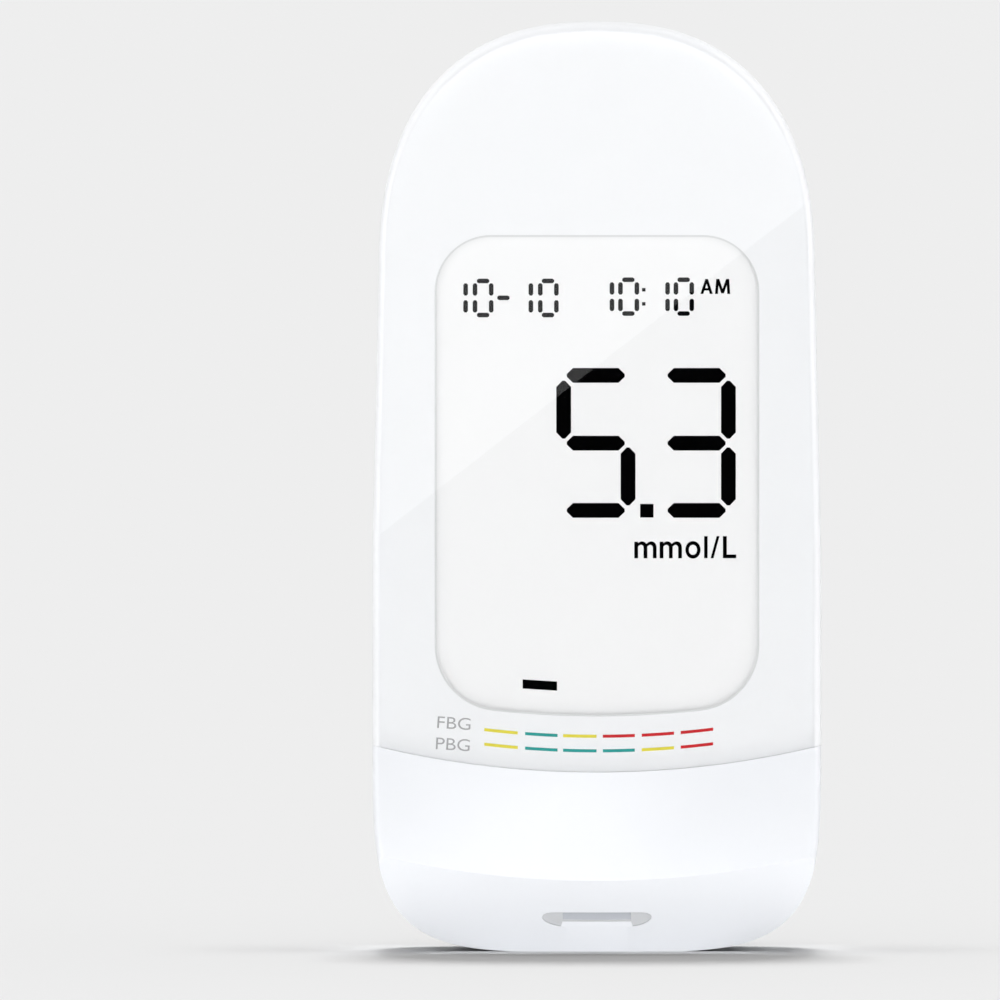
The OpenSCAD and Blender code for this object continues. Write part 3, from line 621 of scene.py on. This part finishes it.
def make_battery_door():
    half, r = door_half, 0.8
    corners = (arc(half - r, door_low + r, r, -90, 0, 6) + [(half, hinge_z), (-half, hinge_z)]
               + arc(-half + r, door_low + r, r, 180, 270, 6))
    plate = slab("door_plate", corners, back - wall, back)
    soften(plate, 0.22, lambda e: all(v.co.y > (back - 0.01) * MM for v in e.verts)
           and not all(v.co.z > (hinge_z - 0.01) * MM for v in e.verts))
    # oval dish for the fingertip, with five ribs
    dish_z, dish_high, dish_deep, dish_out = 37.2, 4.4, 1.15, 0.25
    bpy.ops.mesh.primitive_uv_sphere_add(
        segments=64, ring_count=32, radius=1, location=(0, (back + dish_out) * MM, dish_z * MM),
        scale=(7.2 * MM, dish_deep * MM, dish_high * MM))
    carve(plate, placed(bpy.context.object, "tool"))
    ribs = []
    for k, reach in enumerate((2.6, 4.0, 4.6, 4.0, 2.6)):
        z = dish_z - 2 + k
        level = back + dish_out - sqrt(1 - ((z - dish_z) / dish_high) ** 2) * dish_deep
        ribs.append(block("rib", -reach, reach, level - 0.1, level + 0.3, z - 0.18, z + 0.18, edge=0.12))
    barrel = rod("barrel", (-half, hinge_y, hinge_z), (half, hinge_y, hinge_z), barrel_r, 64)
    soften(barrel, 0.15, lambda e: abs(e.verts[0].co.x - e.verts[1].co.x) < 1e-6 and e.calc_face_angle(0) > 1)
    pins = rod("pins", (-half - 1.5, hinge_y, hinge_z), (half + 1.5, hinge_y, hinge_z), 0.7, 40)
    return smooth(join("door_plate", plate, barrel, pins, *ribs))


def make_memory_button():
    face = 24.13
    cap = pill("memory_cap", memory_y, memory_z, 9, 3, 22.0, face, steps=24)
    soften(cap, 0.45, lambda e: all(v.co.x > (face - 0.01) * MM for v in e.verts), steps=5)
    flange = pill("flange", memory_y, memory_z, 10.4, 4.4, 21.6, 22.25)
    stem = rod("stem", (21.15, memory_y, memory_z), (22.0, memory_y, memory_z), 0.9)
    return smooth(join("memory_cap", cap, flange, stem))


def make_set_button():
    top = 10.8
    cap = rod("set_cap", (0, 9.85, set_z), (0, top, set_z), set_r, 72)
    with editing(cap, "FACE"):
        pick(cap, "faces", lambda f: f.normal.y > 0.9)
        bpy.ops.mesh.inset(thickness=0.45 * MM)
        for shrink, sink in ((0.62, 0.10), (0.6, 0.05), (0.5, 0.02)):
            bpy.ops.mesh.extrude_region_move(TRANSFORM_OT_translate={"value": (0, -sink * MM, 0)})
            bpy.ops.transform.resize(value=(shrink, 1, shrink))
    soften(cap, 0.16, lambda e: all(abs(hypot(v.co.x, v.co.z - set_z * MM) - set_r * MM) < 1e-5
                                    and v.co.y > (top - 0.1) * MM for v in e.verts))
    stem = rod("stem", (0, -0.5, set_z), (0, 9.9, set_z), 1.15)
    return smooth(join("set_cap", cap, stem), 40)


# ------------------------ finishes

class Wire:
    """A node's output that can take part in sums."""

    def __init__(self, finish, socket):
        self.finish, self.socket = finish, socket

    def sum(self, operation, *values):
        return self.finish.add("Math", {"operation": operation}, dict(enumerate(values)))

    def __add__(self, other): return self.sum("ADD", self, other)
    def __radd__(self, other): return self.sum("ADD", other, self)
    def __sub__(self, other): return self.sum("SUBTRACT", self, other)
    def __rsub__(self, other): return self.sum("SUBTRACT", other, self)
    def __mul__(self, other): return self.sum("MULTIPLY", self, other)
    def __rmul__(self, other): return self.sum("MULTIPLY", other, self)
    def __truediv__(self, other): return self.sum("DIVIDE", self, other)
    def __gt__(self, other): return self.sum("GREATER_THAN", self, other)
    def __lt__(self, other): return self.sum("LESS_THAN", self, other)
    def __abs__(self): return self.sum("ABSOLUTE", self)
    def larger(self, other): return self.sum("MAXIMUM", self, other)
    def root(self): return self.sum("SQRT", self)

    def between(self, low, high, to_low=0.0, to_high=1.0):
        return self.finish.add("MapRange", {"clamp": True}, {0: self, 1: low, 2: high, 3: to_low, 4: to_high})


class Finish:
    """A material, or the world, made of nodes."""

    def __init__(self, name, kind="materials"):
        self.made = getattr(bpy.data, kind).new(name)
        self.made.use_nodes = True
        self.tree = self.made.node_tree
        self.tree.nodes.clear()
        self.place = self.add("TexCoord", output="Object")

    def add(self, kind, settings=None, values=None, output=0):
        node = self.tree.nodes.new("ShaderNode" + kind)
        for key, value in (settings or {}).items():
            setattr(node, key, value)
        for key, value in (values or {}).items():
            if isinstance(value, Wire):
                self.tree.links.new(value.socket, node.inputs[key])
            else:
                node.inputs[key].default_value = value
        return Wire(self, node.outputs[output]) if node.outputs else None

    def axis(self, which):
        return self.add("SeparateXYZ", values={0: self.place}, output=which)

    def noise(self, size, detail=2.0, rough=0.5, stretch=(1, 1, 1)):
        """Noise whose blobs are about size millimetres across."""
        place = self.place
        if stretch != (1, 1, 1):
            place = self.add("Mapping", values={"Vector": place, "Scale": stretch})
        return self.add("TexNoise", values={
            "Vector": place, "Scale": 1 / (size * MM), "Detail": detail, "Roughness": rough})

    def mix(self, factor, first, second):
        colours = [c if isinstance(c, Wire) else (*c, 1) for c in (first, second)]
        return self.add("Mix", {"data_type": "RGBA"}, {0: factor, 6: colours[0], 7: colours[1]}, output=2)

    def mirror_share(self, normal, scale):
        """Share of light that a clear sheet mirrors: a little straight on, a third at a glance."""
        tilt = self.add("LayerWeight", values={"Blend": 0.5, "Normal": normal}, output=1)
        square = tilt * tilt
        return (0.04 + 0.3 * (square * square * tilt)) * scale

    def bump(self, height, depth, strength, under=None):
        """Normal from a height that goes from 0 to 1 over depth millimetres."""
        values = {"Height": height, "Distance": depth * MM, "Strength": strength}
        if under:
            values["Normal"] = under
        return self.add("Bump", values=values)

    def shader(self, colour, roughness, normal, **others):
        values = {"Base Color": colour, "Roughness": roughness, "Normal": normal}
        for key, value in others.items():
            values[key.replace("_", " ").title().replace("Ior", "IOR")] = value
        return self.add("BsdfPrincipled", values=values)

    def done(self, shader, kind="Material"):
        self.add("Output" + kind, values={"Surface": shader})
        return self.made


def shade(colour, factor):
    return tuple(c * factor for c in colour)


def moulded(name, colour, roughness, grain=0.25, depth=0.004, patch=9.0, vary=0.012, **others):
    """Moulded plastic: a faint drift in colour and gloss over a fine grain."""
    finish = Finish(name)
    drift = finish.noise(patch, 3)
    base = finish.mix(drift, shade(colour, 1 - vary), shade(colour, 1 + vary))
    fine = finish.noise(grain, 4, 0.6)
    gloss = finish.noise(patch * 0.4, 3).between(0.3, 0.7, roughness * 0.92, roughness * 1.1)
    return finish.done(finish.shader(base, gloss, finish.bump(fine, depth, 0.6), **others))


def metal(name, colour, roughness, brush=(1, 1, 12), size=1.2):
    """Plated metal with fine drawn lines and a faint tarnish."""
    finish = Finish(name)
    lines = finish.noise(size, 4, 0.65, brush)
    tarnish = finish.noise(3.5, 3)
    base = finish.mix(tarnish, shade(colour, 0.86), colour)
    gloss = lines.between(0.3, 0.7, roughness * 0.75, roughness * 1.35)
    return finish.done(finish.shader(base, gloss, finish.bump(lines, 0.006, 0.5), metallic=1.0))


white = (0.85, 0.86, 0.878)


def clear_finish(name, gloss_share, tint=(0.998, 0.999, 1), ripple=16, haze=(0.006, 0.012)):
    """Clear sheet: what lies behind shows through, under a mirror-like gloss that grows at the edges."""
    finish = Finish(name)
    normal = finish.bump(finish.noise(ripple, 2), 0.002, 0.3)
    blur = finish.noise(5, 3).between(0.3, 0.7, *haze)
    gloss = finish.add("BsdfAnisotropic", values={"Color": (1, 1, 1, 1), "Roughness": blur, "Normal": normal})
    through = finish.add("BsdfTransparent", values={"Color": (*tint, 1)})
    share = finish.mirror_share(normal, gloss_share)
    return finish.done(finish.add("MixShader", values={0: share, 1: through, 2: gloss}))


def print_finish(name, colour, vary=0.01, gloss=0.25):
    """Screen-printed ink with a fine dot grain."""
    finish = Finish(name)
    dots = finish.add("TexVoronoi", values={"Vector": finish.place, "Scale": 1 / (0.12 * MM)})
    drift = finish.noise(12, 2)
    base = finish.mix(drift, shade(colour, 1 - vary), shade(colour, 1 + vary))
    return finish.done(finish.shader(base, dots.between(0, 1, 0.405, 0.495), finish.bump(dots, 0.001, 0.3),
                                     specular_ior_level=gloss))


def board_finish():
    """Solder mask over copper tracks, with tinned vias."""
    finish = Finish("solder_mask")
    upright = finish.add("Mapping", values={"Vector": finish.place, "Rotation": (pi / 2, 0, 0)})
    tracks = finish.add("TexBrick", {"offset": 0.35, "squash": 0.7, "squash_frequency": 3}, {
        "Vector": upright, "Scale": 160.0, "Mortar Size": 0.035,
        "Color1": (0, 0, 0, 1), "Color2": (0, 0, 0, 1), "Mortar": (1, 1, 1, 1)})
    spots = finish.add("TexVoronoi", values={"Vector": finish.place, "Scale": 1 / (2.6 * MM), "Randomness": 0.7})
    vias = spots < 0.13
    cloth = finish.noise(0.5, 2, 0.5, (1, 1, 3))
    mask = finish.mix(cloth, (0.012, 0.11, 0.05), (0.018, 0.145, 0.065))
    copper = finish.mix(tracks, mask, (0.045, 0.23, 0.09))
    face = finish.mix(vias, copper, (0.75, 0.72, 0.62))
    return finish.done(finish.shader(face, vias.between(0, 1, 0.34, 0.25), finish.bump(tracks, 0.02, 0.6),
                                     metallic=vias))


def chip_finish(name, middle, half, body=(0.018, 0.018, 0.02), mirrored=False, grain=0.25):
    """Small part with metal beyond half a width from its middle, measured across."""
    finish = Finish(name)
    across = abs(finish.axis(0)) if mirrored else finish.axis(0)
    metal_part = abs(across - middle * MM) > half * MM
    fine = finish.noise(grain, 3, 0.6)
    base = finish.mix(metal_part, finish.mix(fine, shade(body, 0.8), shade(body, 1.2)), (0.72, 0.72, 0.73))
    return finish.done(finish.shader(base, fine.between(0.3, 0.7, 0.32, 0.5) - metal_part * 0.1,
                                     finish.bump(fine, 0.008, 0.5), metallic=metal_part))


def cell_finish():
    """Printed sleeve: dark body, copper band at the positive end, bare steel at both ends."""
    finish = Finish("cell_sleeve")
    x, z = finish.axis(0), finish.axis(2)
    right = x > 0
    # height above the negative end of each cell: the right one stands on its head
    height = right * (76.587 * MM - z) + (1 - right) * (z - 35.1 * MM)
    sleeve = finish.mix(height > 31 * MM, (0.022, 0.026, 0.034), (0.62, 0.27, 0.10))
    steel = (height > 42.9 * MM) + (height < 0.5 * MM)
    scuffs = finish.noise(1.4, 4, 0.6, (1, 1, 0.3))
    base = finish.mix(steel, sleeve, (0.68, 0.68, 0.69))
    return finish.done(finish.shader(base, scuffs.between(0.3, 0.7, 0.2, 0.36),
                                     finish.bump(scuffs, 0.006, 0.4), metallic=steel.between(0, 1, 0.35, 1)))


def striped_finish(name, first, second, pitch, roughness):
    """Fine stripes, as in a layered rubber contact strip."""
    finish = Finish(name)
    waves = finish.add("TexWave", {"bands_direction": "X"}, {
        "Vector": finish.place, "Scale": 0.314 / (pitch * MM), "Distortion": 0.2, "Detail": 1.0})
    base = finish.mix(waves.between(0.4, 0.6), first, second)
    return finish.done(finish.shader(base, roughness, finish.bump(waves, 0.01, 0.4)))


def polariser_finish():
    """Bright display ground: a pearly sheet with a very fine mottle, and painted shade along its edge for the
    window's inner shadow.
    """
    finish = Finish("display_ground_painted_edge_shade")
    mottle = finish.noise(0.35, 3, 0.6)
    drift = finish.noise(30, 1)
    base = finish.mix(mottle, (0.96, 0.96, 0.96), (0.97, 0.97, 0.97))
    base = finish.mix(drift.between(0.35, 0.65, 0, 0.25), base, (0.972, 0.973, 0.975))
    # painted shade: distance from a box with round corners whose lower side follows the seam's curve
    corner, middle, high = 6.5, (window_top + window_low) / 2, (window_top - window_low) / 2
    x, z = finish.axis(0), finish.axis(2)
    z = z - x * x / (2 * seam_r * MM) * (z < middle * MM)
    out_x = (abs(x) - (window_half - corner) * MM).larger(0)
    out_z = (abs(z - middle * MM) - (high - corner) * MM).larger(0)
    edge = (out_x * out_x + out_z * out_z).root().between((corner - 1.0) * MM, corner * MM)
    # painted shade: the ground turns grey within a millimetre of the window's edge, where the inner shadow falls
    base = finish.mix(edge * edge * 0.4, base, (0.80, 0.81, 0.81))
    return finish.done(finish.shader(base, mottle.between(0.3, 0.7, 0.5, 0.6), finish.bump(mottle, 0.001, 0.3),
                                     specular_ior_level=0.0))


def switch_finish(name, axis, level):
    """Steel can with a black plunger past a level."""
    finish = Finish(name)
    plunger = finish.axis(axis) > level * MM
    lines = finish.noise(0.8, 4, 0.6, (1, 1, 10))
    base = finish.mix(plunger, finish.mix(lines, (0.55, 0.55, 0.56), (0.7, 0.7, 0.7)), (0.02, 0.02, 0.022))
    return finish.done(finish.shader(base, lines.between(0.3, 0.7, 0.25, 0.4),
                                     finish.bump(lines, 0.006, 0.5), metallic=1 - plunger))


def buzzer_finish():
    """Black moulded can with turned rings on its face."""
    finish = Finish("buzzer_black")
    centred = finish.add("Mapping", values={"Vector": finish.place, "Location": (7.5 * MM, 0, -24 * MM)})
    rings = finish.add("TexWave", {"wave_type": "RINGS", "rings_direction": "Y"},
                       {"Vector": centred, "Scale": 0.314 / (0.9 * MM), "Distortion": 0.0})
    fine = finish.noise(0.3, 3, 0.6)
    base = finish.mix(fine, (0.016, 0.016, 0.017), (0.028, 0.028, 0.03))
    return finish.done(finish.shader(base, fine.between(0.3, 0.7, 0.4, 0.55),
                                     finish.bump(rings, 0.05, 0.5, finish.bump(fine, 0.006, 0.5))))


shell_white = moulded("shell_white", (0.92, 0.93, 0.947), 0.34, grain=0.5, depth=0.002, specular_ior_level=0.3)
back_white = moulded("textured_white", shade(white, 0.985), 0.46, grain=0.22, depth=0.012)
cap_white = moulded("cap_white", (0.885, 0.902, 0.935), 0.33, grain=0.5, depth=0.002)
door_white = moulded("door_white", shade(white, 0.985), 0.46, grain=0.22, depth=0.012)
button_white = moulded("button_white", shade(white, 0.97), 0.38, grain=0.3)
button_grey = moulded("button_grey", (0.5, 0.51, 0.53), 0.55, grain=0.2, depth=0.01)
# darker copy of the slot's grey: painted shade for the inside of the strip channel
throat_shaded_grey = moulded("throat_shaded_grey", (0.48, 0.50, 0.54), 0.6, patch=4)
slot_grey = moulded("slot_grey", (0.645, 0.655, 0.672), 0.42, patch=4)
tray_white = moulded("tray_white", (0.8, 0.81, 0.82), 0.5, depth=0.01)
ivory = moulded("ivory", (0.83, 0.79, 0.68), 0.45, depth=0.006)
frame_black = moulded("frame_black", (0.03, 0.03, 0.033), 0.5, depth=0.012, vary=0.1)
foam = moulded("foam_tape", (0.78, 0.79, 0.80), 0.85, grain=0.18, depth=0.05, vary=0.04)
film_white = print_finish("film_white", (0.94, 0.948, 0.96), gloss=0.0)
line_grey = print_finish("line_grey", (0.74, 0.75, 0.75), gloss=0.0)
label_grey = print_finish("label_grey", (0.40, 0.40, 0.405))
ink_yellow = print_finish("ink_yellow", (0.78, 0.70, 0.055))
ink_teal = print_finish("ink_teal", (0.012, 0.33, 0.30))
ink_red = print_finish("ink_red", (0.60, 0.012, 0.018))
segment_black = print_finish("segment_black", (0.0012, 0.0012, 0.0014), vary=0.2, gloss=0.0)
digit_grey = print_finish("digit_grey", (0.003, 0.003, 0.0034), vary=0.2, gloss=0.0)
pane_clear = clear_finish("pane_clear", 1.0)
pane_bond = clear_finish("pane_bond", 0.05)
steel = metal("screw_steel", (0.66, 0.66, 0.67), 0.3, brush=(8, 1, 8), size=0.8)
nickel = metal("nickel", (0.74, 0.72, 0.68), 0.26)
gold = metal("contact_gold", (0.9, 0.66, 0.26), 0.22)
spring_steel = metal("spring_steel", (0.7, 0.69, 0.66), 0.28, brush=(1, 1, 1), size=0.6)

# ------------------------ CAD nodes that stay, with their finishes

for name, material in {
    "panel_tape": foam,
    "display_polariser": polariser_finish(),
    "display_front_glass": clear_finish("front_glass", 0.9, (0.97, 0.985, 0.98), 20, (0.02, 0.05)),
    "display_rear_glass": clear_finish("rear_glass", 0.9, (0.965, 0.98, 0.975), 20, (0.02, 0.05)),
    "display_reflector": metal("reflector_foil", (0.8, 0.81, 0.82), 0.5, brush=(1, 1, 1), size=0.5),
    "display_frame": frame_black,
    "display_connector": striped_finish("contact_rubber", (0.42, 0.16, 0.2), (0.03, 0.03, 0.03), 0.3, 0.7),
    "main_board": board_finish(),
    "microcontroller": chip_finish("large_chip", 6.0, 4.01),
    "measuring_chip": chip_finish("measuring_chip_black", 15.7, 3.0, grain=0.3),
    "memory_chip": chip_finish("memory_chip_black", -15.7, 3.0, grain=0.3),
    "clock_crystal": metal("crystal_can", (0.75, 0.75, 0.74), 0.22, brush=(6, 1, 1)),
    "capacitors": chip_finish("ceramic", 15.7, 0.5, body=(0.45, 0.28, 0.14), mirrored=True),
    "thermistor": chip_finish("thermistor_ceramic", 9.2, 0.5, body=(0.07, 0.2, 0.1)),
    "buzzer": buzzer_finish(),
    "memory_switch": switch_finish("memory_switch_steel", 0, 20.1),
    "set_switch": switch_finish("set_switch_steel", 1, -1.2),
    "strip_connector": ivory,
    "strip_contacts": gold,
    "battery_tray": tray_white,
    "battery_plates": nickel,
    "battery_springs": spring_steel,
    "battery_cells": cell_finish(),
    "housing_screws": steel,
    "cap_screws": steel,
    "board_screws": steel,
}.items():
    nodes[name].data.materials.clear()
    nodes[name].data.materials.append(material)

# ------------------------ new pieces


def fit(piece, material, body, slot, *replaced, second=None, test=None):
    """Gives a piece its finish, a second one on the faces that pass a test, and its body; the slot argument is
    not used.
    """
    piece.data.materials.clear()
    piece.data.materials.append(material)
    if second:
        piece.data.materials.append(second)
        for face in piece.data.polygons:
            face.material_index = int(test(face))
    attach(piece, body)
    if replaced:
        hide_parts(*replaced)


def in_channel(face):
    """Tells the channel's upper and lower faces from the slot piece's others; they get a darker grey as painted
    shade inside the throat.
    """
    x, y, z = face.center / MM
    return abs(x) < channel_half + 0.01 and -8.2 < y < -7.2 and z < 8 and abs(face.normal.x) < 0.5


fit(make_front_housing(), shell_white, "housing", "housing_white", "front_housing")
fit(make_rear_housing(), back_white, "housing", "housing_white", "rear_housing")
fit(make_lower_cap(), cap_white, "housing", "cap_white", "lower_cap")
fit(make_slot_guide(), slot_grey, "housing", "slot_grey", "slot_guide", second=throat_shaded_grey, test=in_channel)
fit(make_pane(), pane_clear, "housing", "clear_panel", "front_panel",
    second=pane_bond, test=lambda face: face.normal.y > 0.9)
fit(make_film(), film_white, "housing", "film_white", "printed_film")
fit(make_window_line(), line_grey, "housing", "film_white")
fit(make_row_labels(), label_grey, "housing", "film_white")
for dashes, ink in zip(make_dashes(), (ink_yellow, ink_teal, ink_red)):
    fit(dashes, ink, "housing", "film_white")
large_digits, small_digits = make_segments()
fit(large_digits, segment_black, "housing", "polariser")
fit(small_digits, digit_grey, "housing", "polariser")
fit(make_display_words(), segment_black, "housing", "polariser")
fit(make_battery_door(), door_white, "battery_door", "housing_white", "battery_door")
fit(make_memory_button(), button_white, "memory_button", "housing_white", "memory_button")
fit(make_set_button(), button_grey, "set_button", "button_grey", "set_button")

# ------------------------ studio

scene = bpy.context.scene
scene.view_settings.view_transform = "Standard"
ground = (0.855, 0.855, 0.855)  # what the camera and the gloss see past the floor
paper = (0.80, 0.80, 0.80)


def floor_finish():
    finish = Finish("floor_paper")
    fine = finish.noise(1.5, 3)
    base = finish.mix(fine, shade(paper, 0.995), shade(paper, 1.005))
    return finish.done(finish.add("BsdfDiffuse", values={"Color": base, "Roughness": 0.0}))


bpy.ops.object.select_all(action="DESELECT")
bpy.ops.mesh.primitive_plane_add(size=24, location=(0, 0, 0))
floor = bpy.context.object
floor.name = "floor"
floor.data.materials.append(floor_finish())


def glow(finish, strength, colour=(1, 1, 1)):
    return finish.add("Emission", values={"Color": (*colour, 1), "Strength": strength})


def sheet(name, corners, hidden, finish, shader):
    """Flat stage sheet without a shadow, which the camera doesn't see."""
    piece = filled(name, corners)
    for rays in ("camera", "shadow", "transmission", "volume_scatter", hidden):
        setattr(piece, "visible_" + rays, False)
    piece.data.materials.append(finish.done(shader))
    return piece


def card(name, corners, strength):
    """Flat card that only gloss sees."""
    finish = Finish(name)
    sheet(name, corners, "diffuse", finish, glow(finish, strength))


card("bright_card", [(x, -250, z) for x, z in (
    (-120, 2), (-120, 240), (235, 240), (28.85, 80.6), (-18.5, 43.8), (-71.2, 3))], 1.0)
for side, name in ((-1, "left_card"), (1, "right_card")):
    card(name, [(side * 300, y, z) for y, z in ((-420, 40), (0, 40), (0, 700), (-420, 700))], 4.0)
card("glow_card", [(-15, -45, 11.2), (6, -45, 11.2), (6, -45, 18.1), (-15, -45, 18.1)], 4.8)
card("dark_card", [(-130, -256, 1), (130, -256, 1), (130, -256, 150), (-130, -256, 150)], 0.0)


def flag(name, corners, outward):
    """Black flag close to the body: it keeps the white body's own light off the floor."""
    finish = Finish(name)
    inner_side = finish.add("NewGeometry", output="Backfacing")
    shader = finish.add("MixShader", values={
        0: inner_side, 1: glow(finish, 0.0, (0, 0, 0)), 2: finish.add("BsdfTransparent")})
    piece = sheet(name, corners, "glossy", finish, shader)
    if piece.data.polygons[0].normal.dot(Vector(outward)) < 0:
        piece.data.flip_normals()


flag_gap = 0.15
for side, level, name in ((-1, front, "front_flag"), (1, back, "back_flag")):
    flag(name, [(x, level + side * flag_gap, z) for x, z in outline(-0.1, 0.05)], (0, side, 0))
for side, name in ((-1, "left_flag"), (1, "right_flag")):
    flag(name, [(side * (body_half + 0.3), y, z) for y, z in ((front, 8), (back, 8), (back, 84), (front, 84))],
         (side, 0, 0))


def make_world():
    """Even soft light all round, behind a plain grey that the camera and the gloss see."""
    finish = Finish("studio", "worlds")
    camera_ray, glossy_ray, clear_ray = (
        finish.add("LightPath", output=f"Is {ray} Ray") for ray in ("Camera", "Glossy", "Transmission"))
    plain = finish.add("Background", values={"Color": (1, 1, 1, 1), "Strength": 0.24})
    shown = finish.add("Background", values={"Color": (*ground, 1), "Strength": 1.0})
    seen = camera_ray.larger(glossy_ray).larger(clear_ray)
    return finish.done(finish.add("MixShader", values={0: seen, 1: plain, 2: shown}), "World")


scene.world = make_world()


def sun(name, toward, strength, spread):
    """Wide soft light that comes from far away in the direction toward."""
    bpy.ops.object.light_add(type="SUN", location=(0, 0, 1))
    lamp = bpy.context.object
    lamp.name = name
    lamp.data.energy, lamp.data.angle = strength, radians(spread)
    lamp.visible_glossy = False
    lamp.rotation_euler = Vector(toward).to_track_quat("Z", "Y").to_euler()
    return lamp


def panel(name, place, aim, size, power):
    """Flat soft lamp at its place, turned to what it lights."""
    bpy.ops.object.light_add(type="AREA", location=Vector(place) * MM)
    lamp = bpy.context.object
    lamp.name = name
    lamp.data.shape, lamp.data.energy = "RECTANGLE", power
    lamp.data.size, lamp.data.size_y = size[0] * MM, size[1] * MM
    lamp.rotation_euler = (Vector(place) - Vector(aim)).to_track_quat("Z", "Y").to_euler()
    lamp.visible_camera = lamp.visible_glossy = False
    return lamp


def lights_floor(lamp, alone):
    """Keeps a lamp's light on the floor alone, or off the floor."""
    group = bpy.data.collections.new(lamp.name)
    group.objects.link(floor)
    group.collection_objects[0].light_linking.link_state = "INCLUDE" if alone else "EXCLUDE"
    lamp.light_linking.receiver_collection = group


for name, toward, strength, spread, alone in (
        ("front_light", (0, -1, 0.05), 1.70, 10, False),
        ("left_light", (-1, 0.25, 0.05), 1.2, 20, False),
        ("right_light", (1, 0.25, 0.05), 1.15, 20, False),
        ("top_light", (0, 0.3, 1), 2.05, 20, False),
        ("floor_light", (0, 0.27, 1), 1.62, 12, True),
        ("left_floor_light", (-0.19, -0.02, 1), 0.53, 16, True),
        ("right_floor_light", (0.19, -0.02, 1), 0.53, 16, True)):
    lights_floor(sun(name, toward, strength, spread), alone)
lights_floor(panel("bevel_fill", (0, -20, 0.5), (0, -8, 5), (60, 8), 0.0021), False)
lights_floor(panel("low_fill", (0, -60, 4), (0, -11, 12), (120, 6), 0.001), False)

aim = Vector((-10.63, -11.0, 49.78)) * MM
tip, away = radians(1.6), 4.0
bpy.ops.object.camera_add(location=aim + Vector((0, -cos(tip), sin(tip))) * away, rotation=(pi / 2 - tip, 0, 0))
camera = bpy.context.object
camera.data.lens = 36 / (1000 * pixel * MM) * away  # a frame of 1000 marks on a 36 mm sensor
camera.data.clip_end = 60
scene.camera = camera
